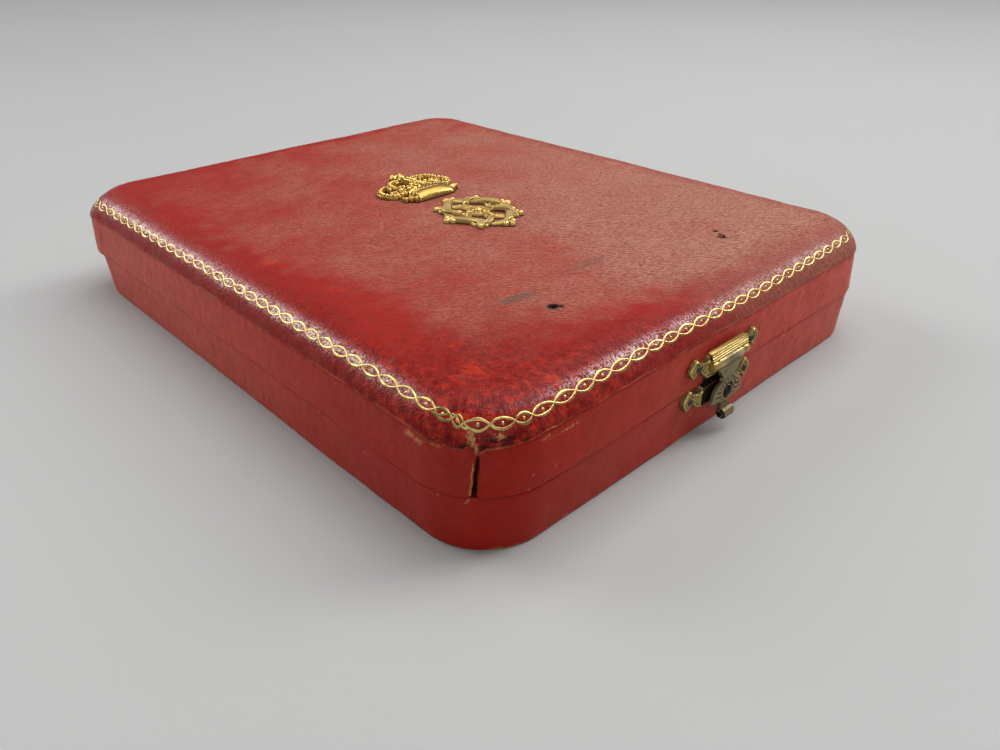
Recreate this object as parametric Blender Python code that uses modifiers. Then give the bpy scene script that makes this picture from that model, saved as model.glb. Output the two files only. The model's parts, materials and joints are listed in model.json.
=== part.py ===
"""Leather presentation case, closed: tray, hinged lid, relief ornaments and a brass lever clasp.

Metres, +Z up. The origin is the middle of the underside. +X runs along the clasp's side, which
faces -Y, and the hinges are on the +Y side. Heights are above the table unless a name says more.
"""
import math

import bmesh
import bpy
from mathutils import Matrix, Vector

MM = 0.001

# Case
CASE_WIDTH = 126.0 * MM
CASE_DEPTH = 156.6 * MM
CORNER_RADIUS = 14.2 * MM
PARTING_HEIGHT = 11.2 * MM
LID_HEIGHT = 15.2 * MM
BOARD_WALL = 3.0 * MM
TRAY_FLOOR = 2.5 * MM
LID_BOARD = 2.6 * MM
LID_INNER_BEVEL = 3.6 * MM
LEATHER = 1.0 * MM
EDGE_RUN = 9.2 * MM
EDGE_DROP = 7.3 * MM
CAP_SKIRT = 5.8 * MM
CAP_PROUD = 0.3 * MM
RIM_FLARE = 0.2 * MM
TRAY_INSET_TOP = 0.3 * MM
TRAY_INSET_FOOT = 0.9 * MM
FOOT_CHAMFER = 0.5 * MM
LEAST_RADIUS = 1.5 * MM
CORNER_STEPS = 8
EDGE_STEPS = 6
WELD = 0.001 * MM
SEAM = 0.005 * MM
OVERLAP = 0.03 * MM
SHARP_ANGLE = 35.0
HOLE_SIDES = 8

# Clearances
GAP = 0.3 * MM
PARTING_GAP = 0.3 * MM
METAL_GAP = 0.15 * MM

# Clasp, measured from the parting line and from the lid's face
CLASP_X = -1.0 * MM
CATCH_SHIFT = -1.0 * MM
SHEET = 0.6 * MM
CATCH_SINK = 0.1 * MM
PLATE_BODY_HALF = 6.4 * MM
PLATE_REACH = 11.6 * MM
PLATE_WING_RISE = 4.85 * MM
PLATE_WING_HALF = 2.15 * MM
PLATE_FOOT_SHARE = 0.95
PLATE_TOP_RISE = 6.5 * MM
PLATE_FOOT_RISE = 1.5 * MM
CATCH_BODY_HALF = 5.9 * MM
CATCH_REACH = 11.2 * MM
CATCH_WING_DROP = 1.6 * MM
CATCH_WING_HALF = 2.5 * MM
CATCH_TOP_RISE = 0.4 * MM
CATCH_FOOT_DROP = 4.2 * MM
KNUCKLE_RISE = 4.3 * MM
KNUCKLE_RADIUS = 1.0 * MM
KNUCKLE_PROUD = 1.35 * MM
KNUCKLE_LENGTH = 2.2 * MM
PIN_RADIUS = 0.42 * MM
BAND_HEIGHT = 1.0 * MM
BAND_PROUD = 1.3 * MM
BAND_RIBS = 3
RIB_SHARE = 0.9
RIB_SINK = 0.05 * MM
LEVER_HALF = 5.6 * MM
LEVER_LENGTH = 9.5 * MM
LEVER_SHEET = 0.7 * MM
LEVER_HOLE_RADIUS = 1.3 * MM
LEVER_HOLE_DROP = 6.8 * MM
TAB_RADIUS = 1.15 * MM
TAB_LENGTH = 3.1 * MM
TAB_DROP = 11.6 * MM
TAB_SET_BACK = 0.5 * MM
STUD_RADIUS = 1.1 * MM
STUD_RISE = 0.25 * MM
STUD_SHANK = 0.5 * MM
NAIL_RADIUS = 0.85 * MM
NAIL_RISE = 0.45 * MM
NAIL_SHANK = 0.35 * MM
NAIL_DEPTH = 2.0 * MM
PLATE_NAIL_ACROSS = 0.44
CATCH_NAIL_ACROSS = 0.6

# One fishtail wing: share of the way from the plate's body to the wing's end, share of its half height
WING_OUTLINE = (
    (0.00, 0.36), (0.20, 0.30), (0.38, 0.46), (0.62, 1.00), (0.86, 0.52), (1.00, 0.08), (0.92, -0.36),
    (0.70, -1.00), (0.60, -0.62), (0.46, -0.48), (0.32, -0.58), (0.20, -0.94),
)

# Half the lever: share of its half width, share of its length below the knuckle
LEVER_OUTLINE = (
    (0.71, 0.00), (0.71, 0.10), (0.57, 0.21), (0.41, 0.25), (0.36, 0.31), (0.45, 0.36), (0.68, 0.36),
    (0.88, 0.44), (0.98, 0.56), (0.96, 0.68), (1.00, 0.85), (0.75, 0.91), (0.42, 0.95), (0.27, 1.00),
)

# Back hinges
HINGE_PLACE = CASE_WIDTH * 2 / 7
HINGE_LENGTH = 18.0 * MM
HINGE_RADIUS = 1.2 * MM
HINGE_OUT = 1.5 * MM
HINGE_PIN_RADIUS = 0.5 * MM
HINGE_LEAF = 0.7 * MM
HINGE_KNUCKLES = 3

# Ornaments on the lid
ORNAMENT_X = -1.6 * MM
CROWN_BASE_Y = 4.6 * MM
CROWN_RELIEF = 2.0 * MM
CROWN_FULLNESS = 0.4
CROWN_SINK = 0.15 * MM
DRUM_SIDES = 22
BAND_HALF_FOOT = 5.3 * MM
BAND_HALF_TOP = 6.0 * MM
BAND_TALL = 3.4 * MM
BAND_BEAD = 0.42 * MM
FOOT_BEAD_UP = 0.55 * MM
ARCH_REACH = 10.2 * MM
ARCH_TOP = 14.2 * MM
ARCH_CENTRE = 9.0 * MM
ARCH_START = -38.0
ARCH_RADIUS = 0.5 * MM
ARCH_ANGLES = (-74.0, -38.0, 0.0, 38.0, 74.0)
PEARL_RADIUS = 0.62 * MM
PEARLS_PER_ARCH = 6
ARCH_STEPS = 9
RIM_PEARLS = 7
RIM_STEPS = 13
LEAF_HEIGHT = 1.9 * MM
LEAF_WIDTH = 1.05 * MM
LEAF_FLATNESS = 0.5
LEAF_SIDE_UP = 0.48 * MM
LEAF_SIDE_RADIUS = 0.74 * MM
ORB_RADIUS = 1.6 * MM
ORB_RISE = 0.96 * MM
FINIAL_RADIUS = 0.6 * MM
FINIAL_SPREAD = 0.78 * MM
FINIAL_RISE = 0.12 * MM

KNOT_Y = -11.0 * MM
KNOT_HALF_WIDTH = 7.9 * MM
KNOT_HALF_HEIGHT = 9.8 * MM
KNOT_FOIL_MEAN = 0.74
KNOT_FOIL_SWING = 0.26
KNOT_SQUARENESS = 1.3
LOZENGE_POINTS = 28
FOIL_POINTS = 36
RING_POINTS = 12
STRAP_RADIUS = 0.75 * MM
STRAP_RISE = 0.41 * MM
STRAP_WEAVE = 0.3 * MM
STRAP_CROSSINGS = 4
KNOT_RING = 2.1 * MM
KNOT_RING_RADIUS = 0.6 * MM
KNOT_BAR_RADIUS = 0.5 * MM
KNOT_BAR_RISE = 0.35 * MM
KNOT_BOSS = 1.1 * MM
KNOT_BALL = 0.72 * MM
KNOT_BALL_RISE = 0.43 * MM
KNOT_TIP_OUT = 1.73 * MM
KNOT_TIP_SIDE = 1.08 * MM
KNOT_LOBE_BEYOND = 0.12

# Nail holes in the top leather: place across, place along, radius
TOP_HOLES = ((-25.9 * MM, -56.6 * MM, 0.7 * MM), (25.5 * MM, -59.3 * MM, 0.6 * MM))
TOP_HOLE_DEPTH = 2.4 * MM

LID_TOP = PARTING_HEIGHT + LID_HEIGHT
TRAY_RIM = PARTING_HEIGHT - PARTING_GAP / 2
LID_RIM = PARTING_HEIGHT + PARTING_GAP / 2
CAP_EDGE = LID_TOP - CAP_SKIRT
HALF_DEPTH = CASE_DEPTH / 2
HINGE_AXIS = Vector((0.0, HALF_DEPTH + HINGE_OUT, PARTING_HEIGHT))
LEVER_AXIS = Vector((CLASP_X, -HALF_DEPTH - KNUCKLE_PROUD, PARTING_HEIGHT + KNUCKLE_RISE))
PLATE_FACE = GAP + SHEET
CATCH_BACK = GAP - CATCH_SINK
CATCH_FACE = CATCH_BACK + SHEET
LEVER_FACE = KNUCKLE_PROUD + KNUCKLE_RADIUS
LEVER_BACK = LEVER_FACE - LEVER_SHEET
BARREL_HALF = LEVER_OUTLINE[0][0] * LEVER_HALF


def clear_scene():
    """Remove what a new file holds, so that only the case is left."""
    for item in list(bpy.data.objects):
        bpy.data.objects.remove(item, do_unlink=True)


def new_collection(name):
    """Make a collection in the scene."""
    group = bpy.data.collections.new(name)
    bpy.context.scene.collection.children.link(group)
    return group


clear_scene()
PARTS = new_collection("presentation_case")
CUTTERS = new_collection("cutters")


def new_material(name, colour, roughness, metallic):
    """Make a plain Principled material."""
    material = bpy.data.materials.new(name)
    material.use_nodes = True
    shader = material.node_tree.nodes["Principled BSDF"]
    shader.inputs["Base Color"].default_value = (*colour, 1.0)
    shader.inputs["Roughness"].default_value = roughness
    shader.inputs["Metallic"].default_value = metallic
    material.diffuse_color = (*colour, 1.0)
    return material


def new_pivot(name, place, parent=None):
    """Make an empty on a joint's axis."""
    pivot = bpy.data.objects.new(name, None)
    pivot.location = place - (world_place(parent) if parent else Vector())
    pivot.parent = parent
    PARTS.objects.link(pivot)
    return pivot


def world_place(item):
    """Sum of the locations of an unturned object and its parents."""
    place = item.location.copy()
    if item.parent:
        place += world_place(item.parent)
    return place


def new_part(name, mesh, material, pivot=None):
    """Add a finished piece whose mesh is in world metres, on its joint's pivot if it moves."""
    mesh.name = name
    mesh.materials.clear()
    mesh.materials.append(material)
    part = bpy.data.objects.new(name, mesh)
    PARTS.objects.link(part)
    if pivot:
        place = world_place(pivot)
        mesh.transform(Matrix.Translation(-place))
        part.parent = pivot
    mesh.shade_smooth()
    mesh.set_sharp_from_angle(angle=math.radians(SHARP_ANGLE))
    return part


def new_cutter(mesh):
    """Add a helper body that only cuts or joins."""
    helper = bpy.data.objects.new("helper", mesh)
    CUTTERS.objects.link(helper)
    helper.hide_render = True
    helper.display_type = 'WIRE'
    return helper


def evaluated_mesh(item):
    """The mesh that an object's modifiers or curve settings give."""
    graph = bpy.context.evaluated_depsgraph_get()
    return bpy.data.meshes.new_from_object(item.evaluated_get(graph))


def combine(mesh, operation, others):
    """Join the other meshes to this one, or cut them from it, in turn, and return the result."""
    body = new_cutter(mesh)
    helpers = [new_cutter(other) for other in others]
    for helper in helpers:
        boolean = body.modifiers.new("combine", 'BOOLEAN')
        boolean.operation = operation
        boolean.solver = 'EXACT'
        boolean.use_self = True
        boolean.object = helper
    result = evaluated_mesh(body)
    for helper in [body] + helpers:
        bpy.data.objects.remove(helper, do_unlink=True)
    bm = bmesh.new()
    bm.from_mesh(result)
    bmesh.ops.remove_doubles(bm, verts=bm.verts, dist=WELD)
    return mesh_of(bm)


def mesh_of(bm):
    """Turn a bmesh into a mesh with its faces pointing out."""
    bmesh.ops.recalc_face_normals(bm, faces=bm.faces)
    mesh = bpy.data.meshes.new("shape")
    bm.to_mesh(mesh)
    bm.free()
    return mesh


def box(low, high):
    """A box between two corners."""
    bm = bmesh.new()
    bmesh.ops.create_cube(bm, size=1.0)
    low, high = Vector(low), Vector(high)
    size = high - low
    bmesh.ops.transform(bm, verts=bm.verts, matrix=Matrix.Diagonal((*size, 1.0)))
    bmesh.ops.translate(bm, verts=bm.verts, vec=(low + high) / 2)
    return mesh_of(bm)


def cylinder(radius, start, end, sides=12, radius_end=None):
    """A cylinder, or a cone if the end radius differs, between two points."""
    start, end = Vector(start), Vector(end)
    along = end - start
    bm = bmesh.new()
    bmesh.ops.create_cone(bm, cap_ends=True, segments=sides, radius1=radius,
                          radius2=radius if radius_end is None else radius_end, depth=along.length)
    turn = along.to_track_quat('Z', 'Y').to_matrix().to_4x4()
    bmesh.ops.transform(bm, verts=bm.verts, matrix=Matrix.Translation((start + end) / 2) @ turn)
    return mesh_of(bm)


def balls(places, radius, stretch=(1.0, 1.0, 1.0), sides=6, rings=4):
    """Spheres at several places that stay clear of each other, in one mesh."""
    bm = bmesh.new()
    for place in places:
        matrix = Matrix.Translation(place) @ Matrix.Diagonal((*stretch, 1.0))
        bmesh.ops.create_uvsphere(bm, u_segments=sides, v_segments=rings, radius=radius, matrix=matrix)
    return mesh_of(bm)


def tube(points, radius, closed=False, resolution=1):
    """A round bar along points, from a bevelled curve."""
    curve = bpy.data.curves.new("bar", 'CURVE')
    curve.dimensions = '3D'
    curve.bevel_depth = radius
    curve.bevel_resolution = resolution
    curve.use_fill_caps = not closed
    spline = curve.splines.new('POLY')
    spline.points.add(len(points) - 1)
    for point, place in zip(spline.points, points):
        point.co = (*place, 1.0)
    spline.use_cyclic_u = closed
    helper = new_cutter(curve)
    mesh = evaluated_mesh(helper)
    bpy.data.objects.remove(helper, do_unlink=True)
    bm = bmesh.new()
    bm.from_mesh(mesh)
    bmesh.ops.remove_doubles(bm, verts=bm.verts, dist=WELD)
    return mesh_of(bm)


def flat_plate(outline, back, face):
    """A flat plate from an outline in the XY plane, between two levels of Z."""
    curve = bpy.data.curves.new("outline", 'CURVE')
    curve.dimensions = '2D'
    curve.fill_mode = 'BOTH'
    curve.extrude = (face - back) / 2
    spline = curve.splines.new('POLY')
    spline.points.add(len(outline) - 1)
    for point, (across, up) in zip(spline.points, outline):
        point.co = (across, up, 0.0, 1.0)
    spline.use_cyclic_u = True
    helper = new_cutter(curve)
    mesh = evaluated_mesh(helper)
    bpy.data.objects.remove(helper, do_unlink=True)
    mesh.transform(Matrix.Translation((0.0, 0.0, (face + back) / 2)))
    bm = bmesh.new()
    bm.from_mesh(mesh)
    bmesh.ops.remove_doubles(bm, verts=bm.verts, dist=WELD)
    return mesh_of(bm)


def turned(profile, sides=10):
    """A body turned round Z from (radius, height) points that run from its top to its foot."""
    bm = bmesh.new()
    verts = [bm.verts.new((radius, 0.0, height)) for radius, height in profile]
    for first, second in zip(verts, verts[1:]):
        bm.edges.new((first, second))
    mesh = bpy.data.meshes.new("profile")
    bm.to_mesh(mesh)
    bm.free()
    helper = new_cutter(mesh)
    screw = helper.modifiers.new("turn", 'SCREW')
    screw.steps = screw.render_steps = sides
    screw.use_merge_vertices = True
    screw.merge_threshold = SEAM
    result = evaluated_mesh(helper)
    bpy.data.objects.remove(helper, do_unlink=True)
    bm = bmesh.new()
    bm.from_mesh(result)
    return mesh_of(bm)


def mirrored(half):
    """A whole outline from its right half, listed from top to bottom."""
    return list(half) + [(-across, up) for across, up in reversed(half)]


def rounded_ring(inset, height):
    """Points of the case's rounded rectangle, set in from the lid's rim by inset."""
    radius = max(CORNER_RADIUS - inset, LEAST_RADIUS)
    half_x = CASE_WIDTH / 2 - inset - radius
    half_y = CASE_DEPTH / 2 - inset - radius
    points = []
    for quarter, (side_x, side_y) in enumerate(((1, 1), (-1, 1), (-1, -1), (1, -1))):
        for step in range(CORNER_STEPS + 1):
            angle = math.pi / 2 * (quarter + step / CORNER_STEPS)
            points.append((side_x * half_x + radius * math.cos(angle),
                           side_y * half_y + radius * math.sin(angle), height))
    return points


def lofted(profile):
    """A closed body through rounded rings: (inset, height) rows, with a flat face at each end."""
    bm = bmesh.new()
    rings = [[bm.verts.new(point) for point in rounded_ring(inset, height)] for inset, height in profile]
    count = len(rings[0])
    for first, second in zip(rings, rings[1:]):
        for here in range(count):
            after = (here + 1) % count
            bm.faces.new((first[here], first[after], second[after], second[here]))
    bm.faces.new(rings[0])
    bm.faces.new(rings[-1])
    return mesh_of(bm)


def edge_inset(height, offset=0.0):
    """Inset of the lid's outside, or of a surface inside it by offset, at a height on the rounded edge."""
    spring = LID_TOP - EDGE_DROP
    rise = min(max((height - spring) / (EDGE_DROP - offset), 0.0), 1.0)
    return RIM_FLARE + offset + (EDGE_RUN - RIM_FLARE - offset) * (1.0 - math.sqrt(1.0 - rise * rise))


def edge_rows(low, offset):
    """Rows (inset, height) up the rounded edge from a height to the flat top."""
    spring = LID_TOP - EDGE_DROP
    start = math.asin(min(max((low - spring) / (EDGE_DROP - offset), 0.0), 1.0))
    rows = []
    for step in range(EDGE_STEPS + 1):
        angle = start + (math.pi / 2 - start) * step / EDGE_STEPS
        height = spring + (EDGE_DROP - offset) * math.sin(angle)
        rows.append((edge_inset(height, offset), height))
    return rows


def wing_plate(half_body, reach, wing_height, wing_half, top, foot, back, face):
    """A stamped plate with a fishtail wing on each side, in clasp space."""
    half = [(half_body, top)]
    for across, up in WING_OUTLINE:
        half.append((half_body + across * (reach - half_body), wing_height + up * wing_half))
    half.append((half_body * PLATE_FOOT_SHARE, foot))
    return flat_plate(mirrored(half), back, face)


def dome(radius, rise, underside):
    """Profile rows of a domed head, from its crown to its rim."""
    rows = []
    for step in range(4):
        angle = math.pi / 2 * (1.0 - step / 3)
        rows.append((radius * math.cos(angle) if step else 0.0, underside + rise * math.sin(angle)))
    return rows


def nail(radius, rise, shank, underside):
    """A domed nail along +Z with the underside of its head at a level."""
    profile = dome(radius, rise, underside)
    profile += [(shank, underside), (shank, -NAIL_DEPTH), (0.0, -NAIL_DEPTH)]
    return turned(profile)


def clasp_matrix(shift=0.0):
    """From clasp space (across, up from the parting line, out from the lid's face) to the world."""
    place = Vector((CLASP_X + shift, -HALF_DEPTH, PARTING_HEIGHT))
    return Matrix.Translation(place) @ Matrix.Rotation(math.pi / 2, 4, 'X')


def placed(mesh, matrix):
    """Move a mesh and return it."""
    mesh.transform(matrix)
    return mesh


LEATHER_RED = new_material("leather_red", (0.33, 0.035, 0.03), 0.55, 0.0)
LEATHER_TOP = new_material("leather_top", (0.30, 0.04, 0.035), 0.5, 0.0)
GILT_BRASS = new_material("gilt_brass", (0.72, 0.50, 0.18), 0.28, 1.0)
STAMPED_BRASS = new_material("stamped_brass", (0.58, 0.45, 0.18), 0.35, 1.0)
TARNISHED_BRASS = new_material("tarnished_brass", (0.33, 0.28, 0.17), 0.45, 1.0)
DARK_STEEL = new_material("dark_steel", (0.22, 0.21, 0.21), 0.4, 1.0)

LID_PIVOT = new_pivot("lid_hinge_axis", HINGE_AXIS)
LEVER_PIVOT = new_pivot("clasp_lever_axis", LEVER_AXIS, LID_PIVOT)


def wing_nail_places(half_body, reach, share, height, shift):
    """World matrices of the two nails in a plate's wings, left then right."""
    across = half_body + share * (reach - half_body)
    return [clasp_matrix(shift) @ Matrix.Translation((side * across, height, 0.0)) for side in (-1, 1)]


PLATE_NAILS = wing_nail_places(PLATE_BODY_HALF, PLATE_REACH, PLATE_NAIL_ACROSS, PLATE_WING_RISE, 0.0)
CATCH_NAILS = wing_nail_places(CATCH_BODY_HALF, CATCH_REACH, CATCH_NAIL_ACROSS, -CATCH_WING_DROP,
                               CATCH_SHIFT)
STUD_RISE_PLACE = KNUCKLE_RISE - LEVER_HOLE_DROP
STUD_PLACE = clasp_matrix() @ Matrix.Translation((0.0, STUD_RISE_PLACE, 0.0))


def shank_hole(matrix, shank):
    """A hole with clearance for a nail, through a plate and into the board."""
    hole = cylinder(shank + METAL_GAP, (0, 0, -NAIL_DEPTH - GAP), (0, 0, LEVER_BACK), sides=HOLE_SIDES)
    return placed(hole, matrix)


def hinge_places():
    """Middle of each back hinge, left then right."""
    return {"left": -HINGE_PLACE, "right": HINGE_PLACE}


def mortise(place_x, side):
    """The cut in a rim for a hinge leaf: side -1 for the tray, 1 for the lid."""
    rim = PARTING_HEIGHT + side * PARTING_GAP / 2
    deep = rim + side * (HINGE_LEAF + GAP)
    low, high = sorted((deep, PARTING_HEIGHT - side * GAP))
    half = HINGE_LENGTH / 2 + GAP
    inner = HALF_DEPTH - CORNER_RADIUS / 2
    return box((place_x - half, inner, low), (place_x + half, HALF_DEPTH + HINGE_OUT, high))


def build_tray():
    """The lower half: a hollow tray that tapers in towards the table."""
    inner = BOARD_WALL + TRAY_INSET_TOP
    profile = [
        (inner, TRAY_FLOOR),
        (inner, TRAY_RIM),
        (TRAY_INSET_TOP, TRAY_RIM),
        (TRAY_INSET_FOOT, FOOT_CHAMFER),
        (TRAY_INSET_FOOT + FOOT_CHAMFER, 0.0),
    ]
    cuts = [mortise(place, -1) for place in hinge_places().values()]
    cuts += [shank_hole(matrix, NAIL_SHANK) for matrix in CATCH_NAILS]
    cuts.append(shank_hole(STUD_PLACE, STUD_SHANK))
    new_part("base_tray", combine(lofted(profile), 'DIFFERENCE', cuts), LEATHER_RED)


def build_lid_frame():
    """The lid's board and side band, with a rebate under the top leather's edge."""
    under = LEATHER + GAP
    ceiling = LID_TOP - under - LID_BOARD
    inner = BOARD_WALL + RIM_FLARE
    rebate = CAP_EDGE - GAP
    profile = [
        (inner + LID_INNER_BEVEL, ceiling),
        (inner, ceiling - LID_INNER_BEVEL),
        (inner, LID_RIM),
        (0.0, LID_RIM),
        (edge_inset(rebate) + CAP_PROUD, rebate),
    ]
    profile += edge_rows(rebate, under)
    cuts = [mortise(place, 1) for place in hinge_places().values()]
    cuts += [shank_hole(matrix, NAIL_SHANK) for matrix in PLATE_NAILS]
    cuts += top_hole_cutters()
    new_part("lid_frame", combine(lofted(profile), 'DIFFERENCE', cuts), LEATHER_RED, LID_PIVOT)


def top_hole_cutters():
    """The two old nail holes in the top, as cutters."""
    return [cylinder(radius, (x, y, LID_TOP - TOP_HOLE_DEPTH), (x, y, LID_TOP + GAP), sides=HOLE_SIDES)
            for x, y, radius in TOP_HOLES]


def build_lid_cap():
    """The top leather, drawn over the rounded edge, with two old nail holes."""
    inside = edge_rows(CAP_EDGE, LEATHER)
    outside = edge_rows(CAP_EDGE, 0.0)
    profile = inside[::-1] + outside
    new_part("lid_cap", combine(lofted(profile), 'DIFFERENCE', top_hole_cutters()), LEATHER_TOP, LID_PIVOT)


def crown_depth(radius):
    """How far a ring of this radius stands out once the crown is pressed flat."""
    return CROWN_RELIEF * (radius / ARCH_REACH) ** CROWN_FULLNESS


def crown_point(angle, radius, up):
    """A point of the crown, turned about its upright axis and pressed flat towards the lid."""
    turn = math.radians(angle)
    axis = LID_TOP + GAP - CROWN_SINK
    return Vector((ORNAMENT_X + radius * math.sin(turn), CROWN_BASE_Y + up,
                   axis + crown_depth(radius) * math.cos(turn)))


def arch_points(angle, count, start=ARCH_START):
    """Points along one arch, which bows out from the rim and closes at the orb."""
    points = []
    for step in range(count):
        sweep = math.radians(start + (90.0 - start) * step / (count - 1))
        radius = ORB_RADIUS / 2 + (ARCH_REACH - ORB_RADIUS / 2) * math.cos(sweep)
        up = ARCH_CENTRE + (ARCH_TOP - ARCH_CENTRE) * math.sin(sweep)
        points.append(crown_point(angle, radius, up))
    return points


def flat_drum(half_foot, half_top, foot, top):
    """A drum on the crown's upright axis, pressed flat."""
    drum = cylinder(half_foot, (0, foot, 0), (0, top, 0), sides=DRUM_SIDES, radius_end=half_top)
    flatten = Matrix.Diagonal((1.0, 1.0, crown_depth(half_foot) / half_foot, 1.0))
    return placed(drum, Matrix.Translation(crown_point(0.0, 0.0, 0.0)) @ flatten)


def rim_bead(radius, up):
    """A round bead along the front of the crown's band."""
    points = [crown_point(-90.0 + 180.0 * step / RIM_STEPS, radius, up) for step in range(RIM_STEPS + 1)]
    return tube(points, BAND_BEAD)


def cut_at_seat(mesh):
    """Cut a relief off flat just above the leather."""
    reach = CASE_WIDTH / 2
    slab = box((-reach, -HALF_DEPTH, LID_TOP - reach), (reach, HALF_DEPTH, LID_TOP + GAP))
    return combine(mesh, 'DIFFERENCE', [slab])


def build_crown():
    """A closed crown in raised relief: band, beads, leaves, pearled arches, orb and finial."""
    drum = flat_drum(BAND_HALF_FOOT, BAND_HALF_TOP, 0.0, BAND_TALL)
    rim = BAND_HALF_TOP + BAND_BEAD / 2
    pieces = [rim_bead(BAND_HALF_FOOT + BAND_BEAD / 2, FOOT_BEAD_UP), rim_bead(rim, BAND_TALL)]
    spread = ARCH_ANGLES[-1] - ARCH_ANGLES[0]
    for number in range(RIM_PEARLS - 1):
        angle = ARCH_ANGLES[0] + spread * (number + 0.5) / (RIM_PEARLS - 1)
        pieces.append(balls([crown_point(angle, rim, BAND_TALL + 2 * BAND_BEAD)], PEARL_RADIUS))
    leaf_up = BAND_TALL + LEAF_HEIGHT
    for angle in ARCH_ANGLES:
        foot = crown_point(angle, rim + BAND_BEAD, leaf_up)
        pieces.append(balls([foot], LEAF_HEIGHT, (LEAF_WIDTH / LEAF_HEIGHT, 1.0, LEAF_FLATNESS)))
        sides = [foot + Vector((side * LEAF_WIDTH, LEAF_SIDE_UP, 0.0)) for side in (-1, 1)]
        pieces.append(balls(sides, LEAF_SIDE_RADIUS))
        pieces.append(tube(arch_points(angle, ARCH_STEPS), ARCH_RADIUS))
        pearls = arch_points(angle, PEARLS_PER_ARCH + 2)[1:-1]
        lift = Vector((0.0, 0.0, ARCH_RADIUS))
        pieces.append(balls([point + lift for point in pearls], PEARL_RADIUS))
    orb_up = ARCH_TOP + ORB_RISE
    pieces.append(balls([crown_point(0.0, ORB_RADIUS, orb_up)], ORB_RADIUS, sides=10, rings=6))
    finial_up = orb_up + ORB_RADIUS + FINIAL_RISE
    for across, up in ((0.0, FINIAL_RADIUS), (-FINIAL_SPREAD, 0.0), (FINIAL_SPREAD, 0.0)):
        place = crown_point(0.0, ORB_RADIUS, finial_up + up) + Vector((across, 0.0, 0.0))
        pieces.append(balls([place], FINIAL_RADIUS))
    whole = combine(drum, 'UNION', pieces)
    new_part("crown_ornament", cut_at_seat(whole), GILT_BRASS, LID_PIVOT)


def knot_point(angle, share, lift):
    """A point of the strapwork at an angle, a share of its half sizes and a height above the seat."""
    return Vector((ORNAMENT_X + KNOT_HALF_WIDTH * share * math.cos(angle),
                   KNOT_Y + KNOT_HALF_HEIGHT * share * math.sin(angle), LID_TOP + GAP + lift))


def lozenge_share(angle):
    """Reach of the soft lozenge at an angle, as a share of its half sizes."""
    power = KNOT_SQUARENESS
    return (abs(math.cos(angle)) ** power + abs(math.sin(angle)) ** power) ** (-1.0 / power)


def foil_share(angle):
    """Reach of the four-lobed strap at an angle, with its lobes on the diagonals."""
    return KNOT_FOIL_MEAN - KNOT_FOIL_SWING * math.cos(STRAP_CROSSINGS * angle)


def strap(share_at, weave, count):
    """A closed strap that passes over and under the other one in turn."""
    points = []
    for step in range(count):
        angle = 2.0 * math.pi * step / count
        lift = STRAP_RISE + weave * STRAP_WEAVE * math.sin(STRAP_CROSSINGS * angle)
        points.append(knot_point(angle, share_at(angle), lift))
    return tube(points, STRAP_RADIUS, closed=True)


def build_knot():
    """Pierced strapwork: a lozenge woven with a four-lobed strap, a ring and boss, and ball tips."""
    lozenge = strap(lozenge_share, 1.0, LOZENGE_POINTS)
    pieces = [strap(foil_share, -1.0, FOIL_POINTS)]
    middle = knot_point(0.0, 0.0, KNOT_BAR_RISE)
    ring = [middle + Vector((KNOT_RING * math.cos(a), KNOT_RING * math.sin(a), 0.0))
            for a in (2.0 * math.pi * step / RING_POINTS for step in range(RING_POINTS))]
    pieces.append(tube(ring, KNOT_RING_RADIUS, closed=True))
    pieces.append(balls([middle], KNOT_BOSS, sides=8, rings=6))
    for quarter in range(4):
        angle = math.pi / 2 * quarter
        out = Vector((math.cos(angle), math.sin(angle), 0.0))
        side = Vector((-math.sin(angle), math.cos(angle), 0.0))
        waist = knot_point(angle, foil_share(angle), KNOT_BAR_RISE)
        pieces.append(cylinder(KNOT_BAR_RADIUS, middle + out * KNOT_BOSS / 2, waist, sides=6))
        tip = knot_point(angle, 1.0, KNOT_BALL_RISE)
        trefoil = [tip + out * KNOT_TIP_OUT, tip + out * KNOT_BALL + side * KNOT_TIP_SIDE,
                   tip + out * KNOT_BALL - side * KNOT_TIP_SIDE]
        pieces += [balls([place], KNOT_BALL) for place in trefoil]
        pieces.append(cylinder(KNOT_BAR_RADIUS, tip, trefoil[0], sides=6))
        diagonal = angle + math.pi / 4
        lobe = knot_point(diagonal, foil_share(diagonal) + KNOT_LOBE_BEYOND, KNOT_BALL_RISE)
        pieces.append(balls([lobe], KNOT_BALL))
    new_part("scroll_ornament", cut_at_seat(combine(lozenge, 'UNION', pieces)), GILT_BRASS, LID_PIVOT)


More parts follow.
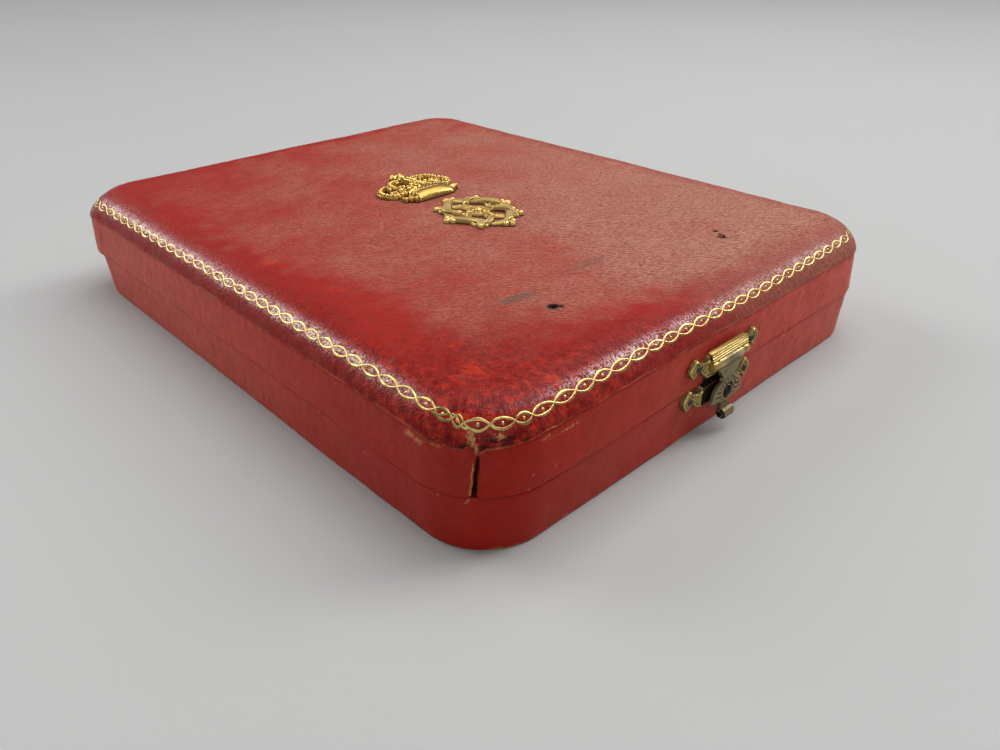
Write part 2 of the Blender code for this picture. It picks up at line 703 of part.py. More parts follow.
def build_clasp_plate():
    """The upper plate: fishtail sheet, ribbed band and two knuckles, with a window for the barrel."""
    sheet = wing_plate(PLATE_BODY_HALF, PLATE_REACH, PLATE_WING_RISE, PLATE_WING_HALF,
                       PLATE_TOP_RISE, PLATE_FOOT_RISE, GAP, PLATE_FACE)
    inner = BARREL_HALF + METAL_GAP
    window = inner + METAL_GAP
    room = KNUCKLE_RADIUS + METAL_GAP / 2
    sheet = combine(sheet, 'DIFFERENCE', [box((-window, KNUCKLE_RISE - room, 0.0),
                                              (window, KNUCKLE_RISE + room, KNUCKLE_PROUD))])
    band_foot = PLATE_TOP_RISE - BAND_HEIGHT
    over = METAL_GAP
    band_half = PLATE_BODY_HALF + over
    pieces = [box((-band_half, band_foot, GAP + over), (band_half, PLATE_TOP_RISE + over, BAND_PROUD))]
    rib = (BAND_HEIGHT + over) / (2 * BAND_RIBS)
    for number in range(BAND_RIBS):
        height = band_foot + rib * (2 * number + 1)
        pieces.append(cylinder(rib * RIB_SHARE, (over - band_half, height, BAND_PROUD - RIB_SINK),
                               (band_half - over, height, BAND_PROUD - RIB_SINK), sides=8))
    for side in (-1, 1):
        pieces.append(cylinder(KNUCKLE_RADIUS, (side * inner, KNUCKLE_RISE, KNUCKLE_PROUD),
                               (side * (inner + KNUCKLE_LENGTH), KNUCKLE_RISE, KNUCKLE_PROUD)))
    bore = cylinder(PIN_RADIUS + METAL_GAP, (-PLATE_REACH, KNUCKLE_RISE, KNUCKLE_PROUD),
                    (PLATE_REACH, KNUCKLE_RISE, KNUCKLE_PROUD))
    whole = combine(combine(sheet, 'UNION', pieces), 'DIFFERENCE', [bore])
    mesh = placed(whole, clasp_matrix())
    mesh = combine(mesh, 'DIFFERENCE', [shank_hole(matrix, NAIL_SHANK) for matrix in PLATE_NAILS])
    new_part("clasp_plate", mesh, STAMPED_BRASS, LID_PIVOT)
    end = inner + KNUCKLE_LENGTH
    pin = cylinder(PIN_RADIUS, (-end, KNUCKLE_RISE, KNUCKLE_PROUD),
                   (end, KNUCKLE_RISE, KNUCKLE_PROUD), sides=10)
    new_part("clasp_pin", placed(pin, clasp_matrix()), STAMPED_BRASS, LID_PIVOT)


def build_lever():
    """The lever: barrel on the pin, waisted body with a hole, neck and rolled tab."""
    half = [(LEVER_HALF * across, KNUCKLE_RISE - LEVER_LENGTH * down) for across, down in LEVER_OUTLINE]
    half.append((half[-1][0], KNUCKLE_RISE - TAB_DROP))
    body = flat_plate(mirrored(half), LEVER_BACK, LEVER_FACE)
    tab_out = LEVER_BACK - TAB_SET_BACK + TAB_RADIUS
    pieces = [
        cylinder(KNUCKLE_RADIUS, (-BARREL_HALF, KNUCKLE_RISE, KNUCKLE_PROUD),
                 (BARREL_HALF, KNUCKLE_RISE, KNUCKLE_PROUD)),
        cylinder(TAB_RADIUS, (-TAB_LENGTH / 2, KNUCKLE_RISE - TAB_DROP, tab_out),
                 (TAB_LENGTH / 2, KNUCKLE_RISE - TAB_DROP, tab_out)),
    ]
    whole = combine(body, 'UNION', pieces)
    cuts = [
        cylinder(PIN_RADIUS + METAL_GAP, (-PLATE_REACH, KNUCKLE_RISE, KNUCKLE_PROUD),
                 (PLATE_REACH, KNUCKLE_RISE, KNUCKLE_PROUD)),
        cylinder(LEVER_HOLE_RADIUS, (0, STUD_RISE_PLACE, 0),
                 (0, STUD_RISE_PLACE, 2 * LEVER_FACE), sides=16),
    ]
    mesh = placed(combine(whole, 'DIFFERENCE', cuts), clasp_matrix())
    new_part("clasp_lever", mesh, TARNISHED_BRASS, LEVER_PIVOT)


def build_catch():
    """The lower plate, with the stud that shows in the lever's hole."""
    sheet = wing_plate(CATCH_BODY_HALF, CATCH_REACH, -CATCH_WING_DROP, CATCH_WING_HALF,
                       CATCH_TOP_RISE, -CATCH_FOOT_DROP, CATCH_BACK, CATCH_FACE)
    cuts = [shank_hole(matrix, NAIL_SHANK) for matrix in CATCH_NAILS] + [shank_hole(STUD_PLACE, STUD_SHANK)]
    mesh = combine(placed(sheet, clasp_matrix(CATCH_SHIFT)), 'DIFFERENCE', cuts)
    new_part("catch_plate", mesh, STAMPED_BRASS)
    stud = nail(STUD_RADIUS, STUD_RISE, STUD_SHANK, CATCH_FACE + METAL_GAP)
    new_part("catch_stud", placed(stud, STUD_PLACE), DARK_STEEL)


def build_nails():
    """The four nails that hold the clasp's plates."""
    for prefix, places, face, pivot in (("clasp_nail", PLATE_NAILS, PLATE_FACE, LID_PIVOT),
                                        ("catch_nail", CATCH_NAILS, CATCH_FACE, None)):
        for side, matrix in zip(("left", "right"), places):
            body = nail(NAIL_RADIUS, NAIL_RISE, NAIL_SHANK, face + METAL_GAP)
            new_part(f"{prefix}_{side}", placed(body, matrix), DARK_STEEL, pivot)


def hinge_leaf(place_x, side):
    """One leaf with its knuckles: side -1 on the tray has the outer knuckles, side 1 the middle ones."""
    rim = PARTING_HEIGHT + side * PARTING_GAP / 2
    low, high = sorted((rim, rim + side * HINGE_LEAF))
    half = HINGE_LENGTH / 2
    inset = BOARD_WALL + TRAY_INSET_TOP - GAP
    free = HINGE_AXIS.y - HINGE_RADIUS - GAP
    leaf = box((place_x - half, HALF_DEPTH - inset, low), (place_x + half, free, high))
    pitch = HINGE_LENGTH / HINGE_KNUCKLES
    pieces = []
    for number in range(HINGE_KNUCKLES):
        if (number % 2 == 0) != (side < 0):
            continue
        start = place_x - half + number * pitch + (GAP / 2 if number else 0.0)
        end = place_x - half + (number + 1) * pitch - (GAP / 2 if number < HINGE_KNUCKLES - 1 else 0.0)
        pieces.append(cylinder(HINGE_RADIUS, (start, HINGE_AXIS.y, HINGE_AXIS.z),
                               (end, HINGE_AXIS.y, HINGE_AXIS.z)))
        pieces.append(box((start + OVERLAP, free - HINGE_LEAF, low), (end - OVERLAP, HINGE_AXIS.y, high)))
    whole = combine(leaf, 'UNION', pieces)
    hole = cylinder(HINGE_PIN_RADIUS + METAL_GAP, (place_x - HINGE_LENGTH, HINGE_AXIS.y, HINGE_AXIS.z),
                    (place_x + HINGE_LENGTH, HINGE_AXIS.y, HINGE_AXIS.z))
    return combine(whole, 'DIFFERENCE', [hole])


def build_hinges():
    """Two butt hinges let into the rims at the back."""
    for side_name, place_x in hinge_places().items():
        new_part(f"hinge_base_{side_name}", hinge_leaf(place_x, -1), STAMPED_BRASS)
        new_part(f"hinge_lid_{side_name}", hinge_leaf(place_x, 1), STAMPED_BRASS, LID_PIVOT)
        half = HINGE_LENGTH / 2
        pin = cylinder(HINGE_PIN_RADIUS, (place_x - half, HINGE_AXIS.y, HINGE_AXIS.z),
                       (place_x + half, HINGE_AXIS.y, HINGE_AXIS.z), sides=10)
        new_part(f"hinge_pin_{side_name}", pin, STAMPED_BRASS)


build_tray()
build_lid_frame()
build_lid_cap()
build_crown()
build_knot()
build_clasp_plate()
build_lever()
build_catch()
build_nails()
build_hinges()
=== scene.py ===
"""Closed presentation case: leather, gold tooling, cast ornaments and clasp, built round the packed model.

Everything is in metres in the model's frame: +Z is up, the clasp faces -Y and the hinges are on the +Y side.
"""
import json
import math

import bpy
import numpy as np
from mathutils import Matrix
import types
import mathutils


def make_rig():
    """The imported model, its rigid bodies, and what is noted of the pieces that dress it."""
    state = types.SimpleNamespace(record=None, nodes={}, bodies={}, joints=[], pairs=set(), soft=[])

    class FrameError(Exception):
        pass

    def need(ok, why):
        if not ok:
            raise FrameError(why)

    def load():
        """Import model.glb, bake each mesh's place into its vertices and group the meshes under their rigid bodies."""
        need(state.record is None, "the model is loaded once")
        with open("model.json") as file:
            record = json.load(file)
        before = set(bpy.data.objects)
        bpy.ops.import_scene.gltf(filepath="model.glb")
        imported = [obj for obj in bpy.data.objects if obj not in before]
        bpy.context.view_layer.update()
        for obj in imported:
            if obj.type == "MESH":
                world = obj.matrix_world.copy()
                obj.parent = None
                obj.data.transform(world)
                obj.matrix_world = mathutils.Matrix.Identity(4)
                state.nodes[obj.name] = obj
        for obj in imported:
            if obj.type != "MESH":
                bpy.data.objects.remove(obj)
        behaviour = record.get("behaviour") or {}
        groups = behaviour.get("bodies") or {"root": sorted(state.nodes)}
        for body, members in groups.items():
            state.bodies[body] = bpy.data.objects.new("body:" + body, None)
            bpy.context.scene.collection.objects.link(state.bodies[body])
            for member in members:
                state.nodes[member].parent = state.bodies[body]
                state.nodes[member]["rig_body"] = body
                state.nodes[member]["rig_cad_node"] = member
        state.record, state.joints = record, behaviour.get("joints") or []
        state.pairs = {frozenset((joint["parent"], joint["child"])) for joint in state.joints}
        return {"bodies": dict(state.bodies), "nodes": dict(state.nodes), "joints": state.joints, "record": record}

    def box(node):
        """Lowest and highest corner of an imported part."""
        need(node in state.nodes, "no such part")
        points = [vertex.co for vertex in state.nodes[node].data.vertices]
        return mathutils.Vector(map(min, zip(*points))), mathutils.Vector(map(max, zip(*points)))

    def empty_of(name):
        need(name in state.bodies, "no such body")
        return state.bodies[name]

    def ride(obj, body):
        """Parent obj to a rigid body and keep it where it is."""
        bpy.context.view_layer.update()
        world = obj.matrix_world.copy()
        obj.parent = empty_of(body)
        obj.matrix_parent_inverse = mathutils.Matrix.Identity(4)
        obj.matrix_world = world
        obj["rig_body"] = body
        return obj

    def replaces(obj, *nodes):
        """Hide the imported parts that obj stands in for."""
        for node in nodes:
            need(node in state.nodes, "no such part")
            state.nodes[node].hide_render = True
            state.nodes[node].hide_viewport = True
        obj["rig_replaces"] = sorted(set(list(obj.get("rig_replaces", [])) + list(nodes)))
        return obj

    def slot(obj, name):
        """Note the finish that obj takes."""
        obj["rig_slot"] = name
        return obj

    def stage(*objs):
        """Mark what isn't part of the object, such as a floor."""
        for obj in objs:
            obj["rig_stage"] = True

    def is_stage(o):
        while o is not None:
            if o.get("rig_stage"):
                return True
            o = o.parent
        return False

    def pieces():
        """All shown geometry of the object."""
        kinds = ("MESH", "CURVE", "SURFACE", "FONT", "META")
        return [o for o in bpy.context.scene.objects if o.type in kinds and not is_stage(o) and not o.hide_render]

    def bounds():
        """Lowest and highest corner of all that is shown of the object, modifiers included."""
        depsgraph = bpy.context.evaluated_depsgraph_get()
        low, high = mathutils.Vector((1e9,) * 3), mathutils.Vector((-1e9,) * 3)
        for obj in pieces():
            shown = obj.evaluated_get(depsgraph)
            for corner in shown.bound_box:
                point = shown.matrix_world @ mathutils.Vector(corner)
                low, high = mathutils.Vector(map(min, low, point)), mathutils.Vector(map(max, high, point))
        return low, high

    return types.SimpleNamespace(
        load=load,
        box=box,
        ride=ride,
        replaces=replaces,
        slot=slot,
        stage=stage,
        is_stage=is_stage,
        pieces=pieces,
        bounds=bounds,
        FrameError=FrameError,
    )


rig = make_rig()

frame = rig.load()

bl_info = {
    "name": "Presentation case",
    "version": (1, 0, 0),
    "blender": (4, 5, 0),
    "location": "View3D > Sidebar > Case",
    "description": "Makes the leather, tooling, ornaments and clasp of a presentation case",
    "category": "Add Mesh",
}

MM = 0.001
CAD_LOW, CAD_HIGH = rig.bounds()
FRAME_LOW, FRAME_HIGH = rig.box("lid_frame")
CAP_LOW, CAP_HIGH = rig.box("lid_cap")
TRAY_LOW, TRAY_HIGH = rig.box("base_tray")

# Case, as in the model's source
HALF_WIDTH = (FRAME_HIGH.x - FRAME_LOW.x) / 2
HALF_DEPTH = (FRAME_HIGH.y - FRAME_LOW.y) / 2
LID_TOP = CAP_HIGH.z
CAP_EDGE = CAP_LOW.z
PARTING = (FRAME_LOW.z + TRAY_HIGH.z) / 2
CORNER = 14.2 * MM
EDGE_RUN = 9.2 * MM
EDGE_DROP = 7.3 * MM
EDGE_SPRING = LID_TOP - EDGE_DROP
RIM_FLARE = 0.2 * MM
LEATHER = 1.0 * MM
GAP = 0.3 * MM
WALL = 3.0 * MM
TRAY_FLOOR = 2.5 * MM
TRAY_TOP_INSET = 0.3 * MM
TRAY_FOOT_INSET = 0.9 * MM
BAND_TOP_INSET = 0.62 * MM
LID_BEVEL = 3.6 * MM
LID_CEILING = LID_TOP - LEATHER - GAP - 2.6 * MM

# Length of a long and of a short side, each with half of both its corners
DEEP_SIDE = 2 * (HALF_DEPTH - CORNER) + CORNER * math.pi / 2
WIDE_SIDE = 2 * (HALF_WIDTH - CORNER) + CORNER * math.pi / 2

# Cells along the long and short sides, from the middle of one corner to the middle of the next
DEEP_CELLS = 250
WIDE_CELLS = 200
EDGE_ROWS = 26
SIDE_ROWS = 15

# The split corner, as a place along the outline, and how far and how closely columns crowd round it
SPLIT_ALONG = 2.994
CROWD_REACH = 0.035
CROWD_SHARE = 0.78

# Clasp, measured from the parting line and from the lid's face
CLASP_X = -1.0 * MM
CATCH_SHIFT = -1.0 * MM
KNUCKLE_RISE = 4.3 * MM
KNUCKLE_RADIUS = 1.0 * MM
KNUCKLE_PROUD = 1.35 * MM
LEVER_FACE = KNUCKLE_PROUD + KNUCKLE_RADIUS
LEVER_SHEET = 0.7 * MM
LEVER_HALF = 5.6 * MM
LEVER_LENGTH = 9.5 * MM
BARREL_SHARE = 0.71
BAND_LOW = 5.35 * MM
BAND_HIGH = 7.0 * MM
TAB_DROP = 11.6 * MM
TAB_RADIUS = 1.15 * MM
TAB_LENGTH = 3.1 * MM
TAB_OUT = LEVER_FACE - LEVER_SHEET - 0.5 * MM + TAB_RADIUS
STUD_DROP = 6.8 * MM
UPPER_BODY = 6.0 * MM
UPPER_NAIL = (8.69 * MM, 4.85 * MM)
LOWER_BODY = 5.9 * MM
LOWER_NAIL = (9.08 * MM, -1.6 * MM)
NAIL_HOLE = 0.45 * MM
PIN_RADIUS = 0.42 * MM

# Ornaments on the lid
ORNAMENT_X = -1.6 * MM
CROWN_Y = 4.6 * MM
CROWN_REACH = 10.2 * MM
CROWN_LEVEL = 0.15 * MM
DRUM = 5.6 * MM
KNOT_Y = -11.0 * MM
KNOT_WIDE, KNOT_TALL = 7.9 * MM, 9.8 * MM
RELIEF_SINK = 0.12 * MM
RELIEF_LEAST = 0.05 * MM

# Studio: the floor's flat radius and its cove, the grey world, the square area lights (place, size, power)
FLOOR_RADIUS, COVE = 3.2, 1.2
WORLD_COLOUR, WORLD_STRENGTH = (0.97, 0.98, 1.0, 1.0), 0.20
LIGHTS = {
    "softbox_left": ((-1.0, 2.7, 1.8), 1.5, 48.0), "softbox_right": ((2.64, -0.9, 1.98), 1.3, 47.0),
    "key": ((0.25, -0.02, 0.8), 0.7, 6.2), "fill": ((-2.6, -2.6, 2.0), 3.2, 42.0),
}

# Camera: place, azimuth, elevation and roll in degrees, focal length in widths of the frame
CAMERA_PLACE = (-0.12050, -0.14374, 0.08861)
CAMERA_TURN = (-43.40, 30.82, -0.364)
CAMERA_FOCAL = 0.7923
SENSOR = 36.0

# Spots on the sides that are rubbed to the bare hide: along the outline, height, half sizes, strength
BARE_SPOTS = (
    (3.018, 0.0, 2.2, 0.6, 1.0), (3.050, 0.0, 3.4, 0.5, 1.0), (3.081, 0.1, 2.0, 0.4, 0.8),
    (3.145, 0.6, 0.9, 0.6, 0.8), (3.244, 1.2, 0.6, 0.5, 0.6), (2.930, 0.0, 3.0, 0.3, 0.6),
    (2.100, 0.2, 5.0, 0.3, 0.5), (2.913, 19.3, 1.3, 0.7, 1.0), (2.927, 18.9, 1.0, 0.6, 1.0),
    (2.952, 19.5, 2.2, 0.25, 0.8), (2.964, 17.4, 0.35, 0.9, 0.6), (2.961, 15.2, 0.5, 1.0, 0.45),
    (2.954, 11.9, 0.35, 0.3, 1.0), (3.072, 14.2, 0.4, 0.3, 0.9), (3.110, 13.4, 0.3, 0.25, 0.8),
    (3.0625, 11.6, 0.4, 0.3, 0.9), (3.095, 19.5, 1.6, 0.22, 0.9), (3.112, 18.9, 2.4, 0.18, 0.7),
    (3.140, 18.9, 3.4, 0.22, 0.9), (2.021, 19.6, 1.6, 0.7, 0.8), (3.0265, 22.0, 1.2, 0.6, 0.85),
    (2.9905, 21.7, 0.9, 1.4, 0.9), (2.030, 21.4, 1.0, 0.5, 0.7), (2.9965, 20.6, 0.4, 0.9, 1.0),
    (2.940, 20.5, 2.4, 0.18, 0.7), (3.078, 20.5, 2.0, 0.22, 0.7), (3.106, 20.7, 2.6, 0.2, 0.8),
)

# Rubbed orange-red scuffs on the top: across, along, half sizes, turn in degrees, strength
SCUFF_SPOTS = (
    (-51.0, -5.2, 4.6, 1.6, -55, 1.0), (-56.7, 13.9, 3.0, 1.5, -50, 0.6), (-33.1, 5.9, 1.0, 1.2, 0, 0.95),
    (-16.2, 13.3, 4.5, 2.0, -45, 0.6), (-48.2, -56.2, 1.5, 0.6, -45, 1.0), (-25.2, -38.0, 0.6, 0.5, 0, 0.9),
    (-25.0, -47.5, 1.9, 0.7, -50, 1.0), (-49.6, -24.3, 7.0, 1.8, -53, 0.65),
    (-50.7, -49.4, 5.0, 1.2, -50, 0.7), (-51.0, -64.0, 5.5, 3.0, -52, 0.85),
    (-33.3, -62.9, 1.6, 0.5, -45, 0.85), (-40.5, -60.8, 1.8, 0.6, -45, 0.9),
    (-5.5, -72.5, 3.2, 1.6, -52, 0.85), (19.8, -72.9, 3.0, 1.2, -45, 0.6),
    (54.3, -52.9, 4.0, 1.2, -45, 0.6), (47.2, -63.7, 3.0, 0.8, -45, 0.55),
    (-59.0, -25.0, 5.0, 2.0, -60, 0.65), (27.6, -56.1, 1.5, 0.5, -45, 0.95),
    (-52.8, 7.0, 8.0, 2.0, 75, 0.5), (-46.0, -38.0, 8.0, 1.6, -50, 0.55), (-12.0, -66.0, 8.0, 1.8, -6, 0.5),
    (42.0, 2.5, 4.6, 0.5, -33, 0.8), (50.0, -20.0, 4.0, 0.8, 60, 0.4), (-44.0, -71.0, 6.0, 2.4, 0, 0.7),
    (-40.0, 30.0, 6.0, 1.6, -50, 0.45), (44.0, -70.0, 7.0, 1.8, 15, 0.5), (-58.0, -52.0, 5.0, 2.2, 70, 0.6),
)

# Scuffs on the rounded edge: along the outline, height, half length, half height, strength
EDGE_SCUFFS = (
    (2.985, 22.6, 2.2, 0.8, 0.9), (3.030, 22.9, 3.0, 0.6, 0.9), (3.045, 21.3, 3.0, 0.5, 0.8),
    (2.955, 22.0, 2.0, 0.7, 0.7), (3.100, 21.7, 4.0, 0.5, 0.7), (3.506, 23.4, 5.0, 0.9, 0.9),
    (3.000, 24.4, 7.0, 0.7, 0.8), (3.430, 22.6, 4.0, 0.5, 0.6),
)

# Grey stains on the top, as above
STAIN_SPOTS = (
    (-27.4, -50.2, 4.8, 1.5, -11, 1.0), (-25.9, -57.3, 1.8, 1.2, -30, 0.9),
    (26.0, -58.9, 1.5, 0.7, -38, 0.9), (-6.0, -48.8, 10.0, 2.2, 2, 0.5), (8.0, -47.0, 7.0, 1.8, 8, 0.4),
    (-29.0, -64.0, 1.6, 0.8, 0, 0.4), (-57.6, -52.0, 1.0, 0.5, 0, 0.8), (-53.5, -64.5, 0.9, 0.5, 0, 0.7),
)

# Dark spots on the torn corner of the top leather: along the outline, height, half sizes, strength
TORN_DARK_SPOTS = (
    (3.006, 20.6, 1.0, 0.5, 1.0), (3.020, 21.6, 1.3, 0.5, 1.0), (3.040, 21.5, 1.2, 0.5, 1.0),
    (3.034, 20.5, 1.6, 0.5, 0.8), (2.981, 20.4, 1.0, 0.6, 0.9), (2.965, 21.2, 1.6, 0.4, 0.6),
    (3.060, 20.8, 1.4, 0.35, 0.7), (2.950, 20.6, 1.6, 0.35, 0.7),
)

# Old nail holes in the top: across, along, radius, depth
HOLES = ((-25.7, -57.3, 0.85, 2.0), (25.9, -58.9, 0.75, 1.8), (27.6, -56.2, 0.4, 0.6), (-24.6, -58.2, 0.42, 0.9))

# The side band's split: its lower and upper end, and the heights in mm where its width is given
SPLIT_LOW, SPLIT_HIGH = 11.3 * MM, 19.2 * MM
SPLIT_HEIGHTS = (11.3, 13, 16, 19.5)

# One fishtail wing: share of the way from the plate's body to the wing's end, share of its half height
WING_OUTLINE = (
    (0.00, 0.36), (0.20, 0.30), (0.38, 0.46), (0.62, 1.00), (0.86, 0.52), (1.00, 0.08), (0.92, -0.36),
    (0.70, -1.00), (0.60, -0.62), (0.46, -0.48), (0.32, -0.58), (0.20, -0.94),
)

# Half the lever: share of its half width, share of its length below the knuckle
LEVER_OUTLINE = (
    (0.71, 0.00), (0.71, 0.10), (0.60, 0.22), (0.44, 0.34), (0.36, 0.40), (0.44, 0.45), (0.60, 0.50),
    (0.74, 0.57), (0.84, 0.68), (0.88, 0.78), (0.96, 0.88), (0.76, 0.91), (0.42, 0.95), (0.27, 1.00),
)


def length_property(name, description, default):
    """A length that a user can change, in metres."""
    return bpy.props.FloatProperty(name=name, description=description, default=default, subtype='DISTANCE',
                                   unit='LENGTH')


def colour_property(name, description, default):
    """A linear colour that a user can change."""
    return bpy.props.FloatVectorProperty(name=name, description=description, default=default, subtype='COLOR',
                                         size=3, min=0.0, max=1.0)


class CaseSizes(bpy.types.PropertyGroup):
    """Sizes that change the look of the case."""
    grain_pitch: length_property("Grain pitch", "Distance between the lines of the straight grain", 0.42 * MM)
    undulation: length_property("Undulation", "How uneven the leather lies over the board", 0.09 * MM)
    links: bpy.props.IntProperty(name="Links", description="Number of links of the gold chain round the case",
                                 default=121, min=20, subtype='UNSIGNED')
    chain_width: length_property("Chain width", "How far each gold strand swings to a side", 0.80 * MM)
    stroke: length_property("Stroke", "Half the width of a gold strand", 0.22 * MM)
    relief_cell: length_property("Relief cell", "Grid size of the cast ornaments", 0.125 * MM)


class CaseColours(bpy.types.PropertyGroup):
    """Colours of the case, linear."""
    top: colour_property("Top leather", "Unfaded red of the top", (0.35, 0.012, 0.008))
    deep: colour_property("Deep red", "Leather near the rounded edge", (0.21, 0.0014, 0.0008))
    # The dusty colour is faded, dusty leather and painted sheen together.
    dusty: colour_property("Dusty red", "Faded and dusty part of the top", (0.43, 0.205, 0.142))
    scuff: colour_property("Scuff", "Leather rubbed to orange-red", (0.47, 0.030, 0.010))
    side: colour_property("Side leather", "Smooth leather of the sides", (0.64, 0.022, 0.0050))
    side_pale: colour_property("Pale side", "Dulled parts of the sides", (0.62, 0.080, 0.038))
    hide: colour_property("Bare hide", "Where the dyed face is gone", (0.46, 0.20, 0.075))
    stain: colour_property("Stain", "Grey stains and the holes", (0.11, 0.075, 0.058))
    lining: colour_property("Lining", "Paper that lines the inside", (0.62, 0.55, 0.42))
    leaf: colour_property("Gold leaf", "Tooling", (0.48, 0.36, 0.125))
    gilt: colour_property("Gilt brass", "Crown", (0.43, 0.255, 0.06))
    bronze: colour_property("Gilt bronze", "Strapwork", (0.50, 0.345, 0.13))
    brass: colour_property("Stamped brass", "Plates and hinges", (0.46, 0.32, 0.10))
    tarnish: colour_property("Tarnished brass", "Lever", (0.27, 0.21, 0.115))
    steel: colour_property("Dark steel", "Nails", (0.10, 0.085, 0.072))
    stud: colour_property("Stud", "Dark brown, polished stud", (0.055, 0.037, 0.026))
    floor: colour_property("Floor", "Table and backdrop", (0.395, 0.395, 0.39))


def sizes():
    """The scene's size settings."""
    return bpy.context.scene.case_sizes


def colours():
    """The scene's colour settings."""
    return bpy.context.scene.case_colours


# ---- shapes: common functions

def ripple(points, wavelength, seed, waves=14):
    """Smooth noise of about -1 to 1: the sum of sine waves in seeded directions, near one wavelength."""
    rng = np.random.default_rng(seed)
    directions = rng.normal(size=(waves, points.shape[-1]))
    directions /= np.linalg.norm(directions, axis=1, keepdims=True)
    directions *= (2 * math.pi / wavelength) * rng.uniform(0.7, 1.5, (waves, 1))
    phases = rng.uniform(0, 2 * math.pi, waves)
    return np.sin(points @ directions.T + phases).sum(-1) / math.sqrt(waves)


def smooth(value, low, high):
    """Soft step from 0 at low to 1 at high: t squared times (3 - 2t)."""
    t = np.clip((value - low) / (high - low), 0.0, 1.0)
    return t * t * (3 - 2 * t)


def full_turn(count):
    """Angles evenly round a full turn."""
    return np.arange(count) / count * 2 * math.pi


def bell(value, centre, width):
    """Bell curve: e to the minus of the squared distance over the width."""
    return np.exp(-((value - centre) / width) ** 2)


def grid_quads(rows, columns, wrap=False, close=False, index=None):
    """Quads between neighbouring rows and columns of points: wrap joins the columns round, close the rows."""
    index = np.arange(rows * columns).reshape(rows, columns) if index is None else index
    if close:
        index = np.vstack([index, index[:1]])
    if wrap:
        index = np.hstack([index, index[:, :1]])
    return np.stack([index[:-1, :-1], index[:-1, 1:], index[1:, 1:], index[1:, :-1]], -1).reshape(-1, 4)


def facing_out(points, quads, caps):
    """Turn all faces round if the volume that they enclose comes out negative."""
    def volume(a, b, c):
        return np.einsum('ij,ij->', points[a], np.cross(points[b], points[c]))
    total = volume(quads[:, 0], quads[:, 1], quads[:, 2]) + volume(quads[:, 0], quads[:, 2], quads[:, 3])
    for cap in caps:
        fan = np.asarray(cap)
        total += volume(np.full(len(fan) - 2, fan[0]), fan[1:-1], fan[2:])
    if total < 0:
        return quads[:, ::-1], [list(cap)[::-1] for cap in caps]
    return quads, [list(cap) for cap in caps]


def new_piece(name, points, quads, materials, body, slot=None, stands_for=(), caps=(), uv=None, uv_wrap=None,
              marks=None, material_of=None, sharp=50.0, keep_winding=False):
    """Make a finished piece from arrays: quads and many-sided caps, UVs and marks per point."""
    points = np.asarray(points, float).reshape(-1, 3)
    quads = np.asarray(quads)
    if not keep_winding:
        quads, caps = facing_out(points, quads, caps)
    loops = np.concatenate([quads.ravel()] + [np.asarray(cap) for cap in caps]).astype(np.int32)
    counts = np.concatenate([np.full(len(quads), 4), [len(cap) for cap in caps]]).astype(int)
    mesh = bpy.data.meshes.new(name)
    mesh.vertices.add(len(points))
    mesh.vertices.foreach_set("co", points.astype(np.float32).ravel())
    mesh.loops.add(len(loops))
    mesh.loops.foreach_set("vertex_index", loops)
    mesh.polygons.add(len(counts))
    mesh.polygons.foreach_set("loop_start", np.concatenate([[0], np.cumsum(counts)[:-1]]).astype(np.int32))
    if material_of is not None:
        mesh.polygons.foreach_set("material_index", np.asarray(material_of, np.int32))
    mesh.update(calc_edges=True)
    if uv is not None:
        corner_uv = np.asarray(uv, float).reshape(-1, 2)[loops]
        if uv_wrap:
            u = corner_uv[:4 * len(quads), 0].reshape(-1, 4)
            u += np.where(u.max(1, keepdims=True) - u > uv_wrap / 2, uv_wrap, 0.0)
        mesh.uv_layers.new(name="skin").data.foreach_set("uv", corner_uv.astype(np.float32).ravel())
    for mark, values in (marks or {}).items():
        layer = mesh.attributes.new(mark, 'FLOAT', 'POINT')
        layer.data.foreach_set("value", np.asarray(values, np.float32).ravel())
    mesh.shade_smooth()
    mesh.set_sharp_from_angle(angle=math.radians(sharp))
    for material in materials:
        mesh.materials.append(material)
    piece = bpy.data.objects.new(name, mesh)
    bpy.context.scene.collection.objects.link(piece)
    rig.ride(piece, body)
    if stands_for:
        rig.replaces(piece, *stands_for)
    if slot:
        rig.slot(piece, slot)
    return piece


# ---- shapes: the case

def crowd(along):
    """Draw places on the outline in towards the split corner: d becomes d (1 - share e^-(d/reach)^2)."""
    away = along - SPLIT_ALONG
    return along - CROWD_SHARE * away * np.exp(-(away / CROWD_REACH) ** 2)


def outline(along):
    """Centres, outward normals and length round the rounded rectangle.

    The whole part of along is the side (right, back, left, front), its fraction runs from the middle of one
    corner to the middle of the next. A point lies at centre + (corner radius - inset) x normal.
    """
    along = np.asarray(along, float)
    side = np.floor(along).astype(int) % 4
    core_x, core_y = HALF_WIDTH - CORNER, HALF_DEPTH - CORNER
    outward = np.array([[1, 0], [0, 1], [-1, 0], [0, -1]], float)[side]
    onward = np.array([[0, 1], [-1, 0], [0, -1], [1, 0]], float)[side]
    run = np.where(side % 2 == 0, core_y, core_x)
    reach = np.where(side % 2 == 0, core_x, core_y)
    half = run + CORNER * math.pi / 4
    distance = (2 * (along - np.floor(along)) - 1) * half
    straight = np.clip(distance, -run, run)
    angle = (distance - straight) / CORNER
    normal = np.cos(angle)[..., None] * outward + np.sin(angle)[..., None] * onward
    centre = reach[..., None] * outward + straight[..., None] * onward
    start = np.array([0, DEEP_SIDE, DEEP_SIDE + WIDE_SIDE, 2 * DEEP_SIDE + WIDE_SIDE])[side]
    return centre, normal, start + half + distance


def outline_length():
    """The whole way round the outline."""
    return 2 * (DEEP_SIDE + WIDE_SIDE)


def column_places():
    """Places of all columns round the outline, before crowding."""
    cells = (DEEP_CELLS, WIDE_CELLS, DEEP_CELLS, WIDE_CELLS)
    return np.concatenate([side + np.arange(count) / count for side, count in enumerate(cells)])


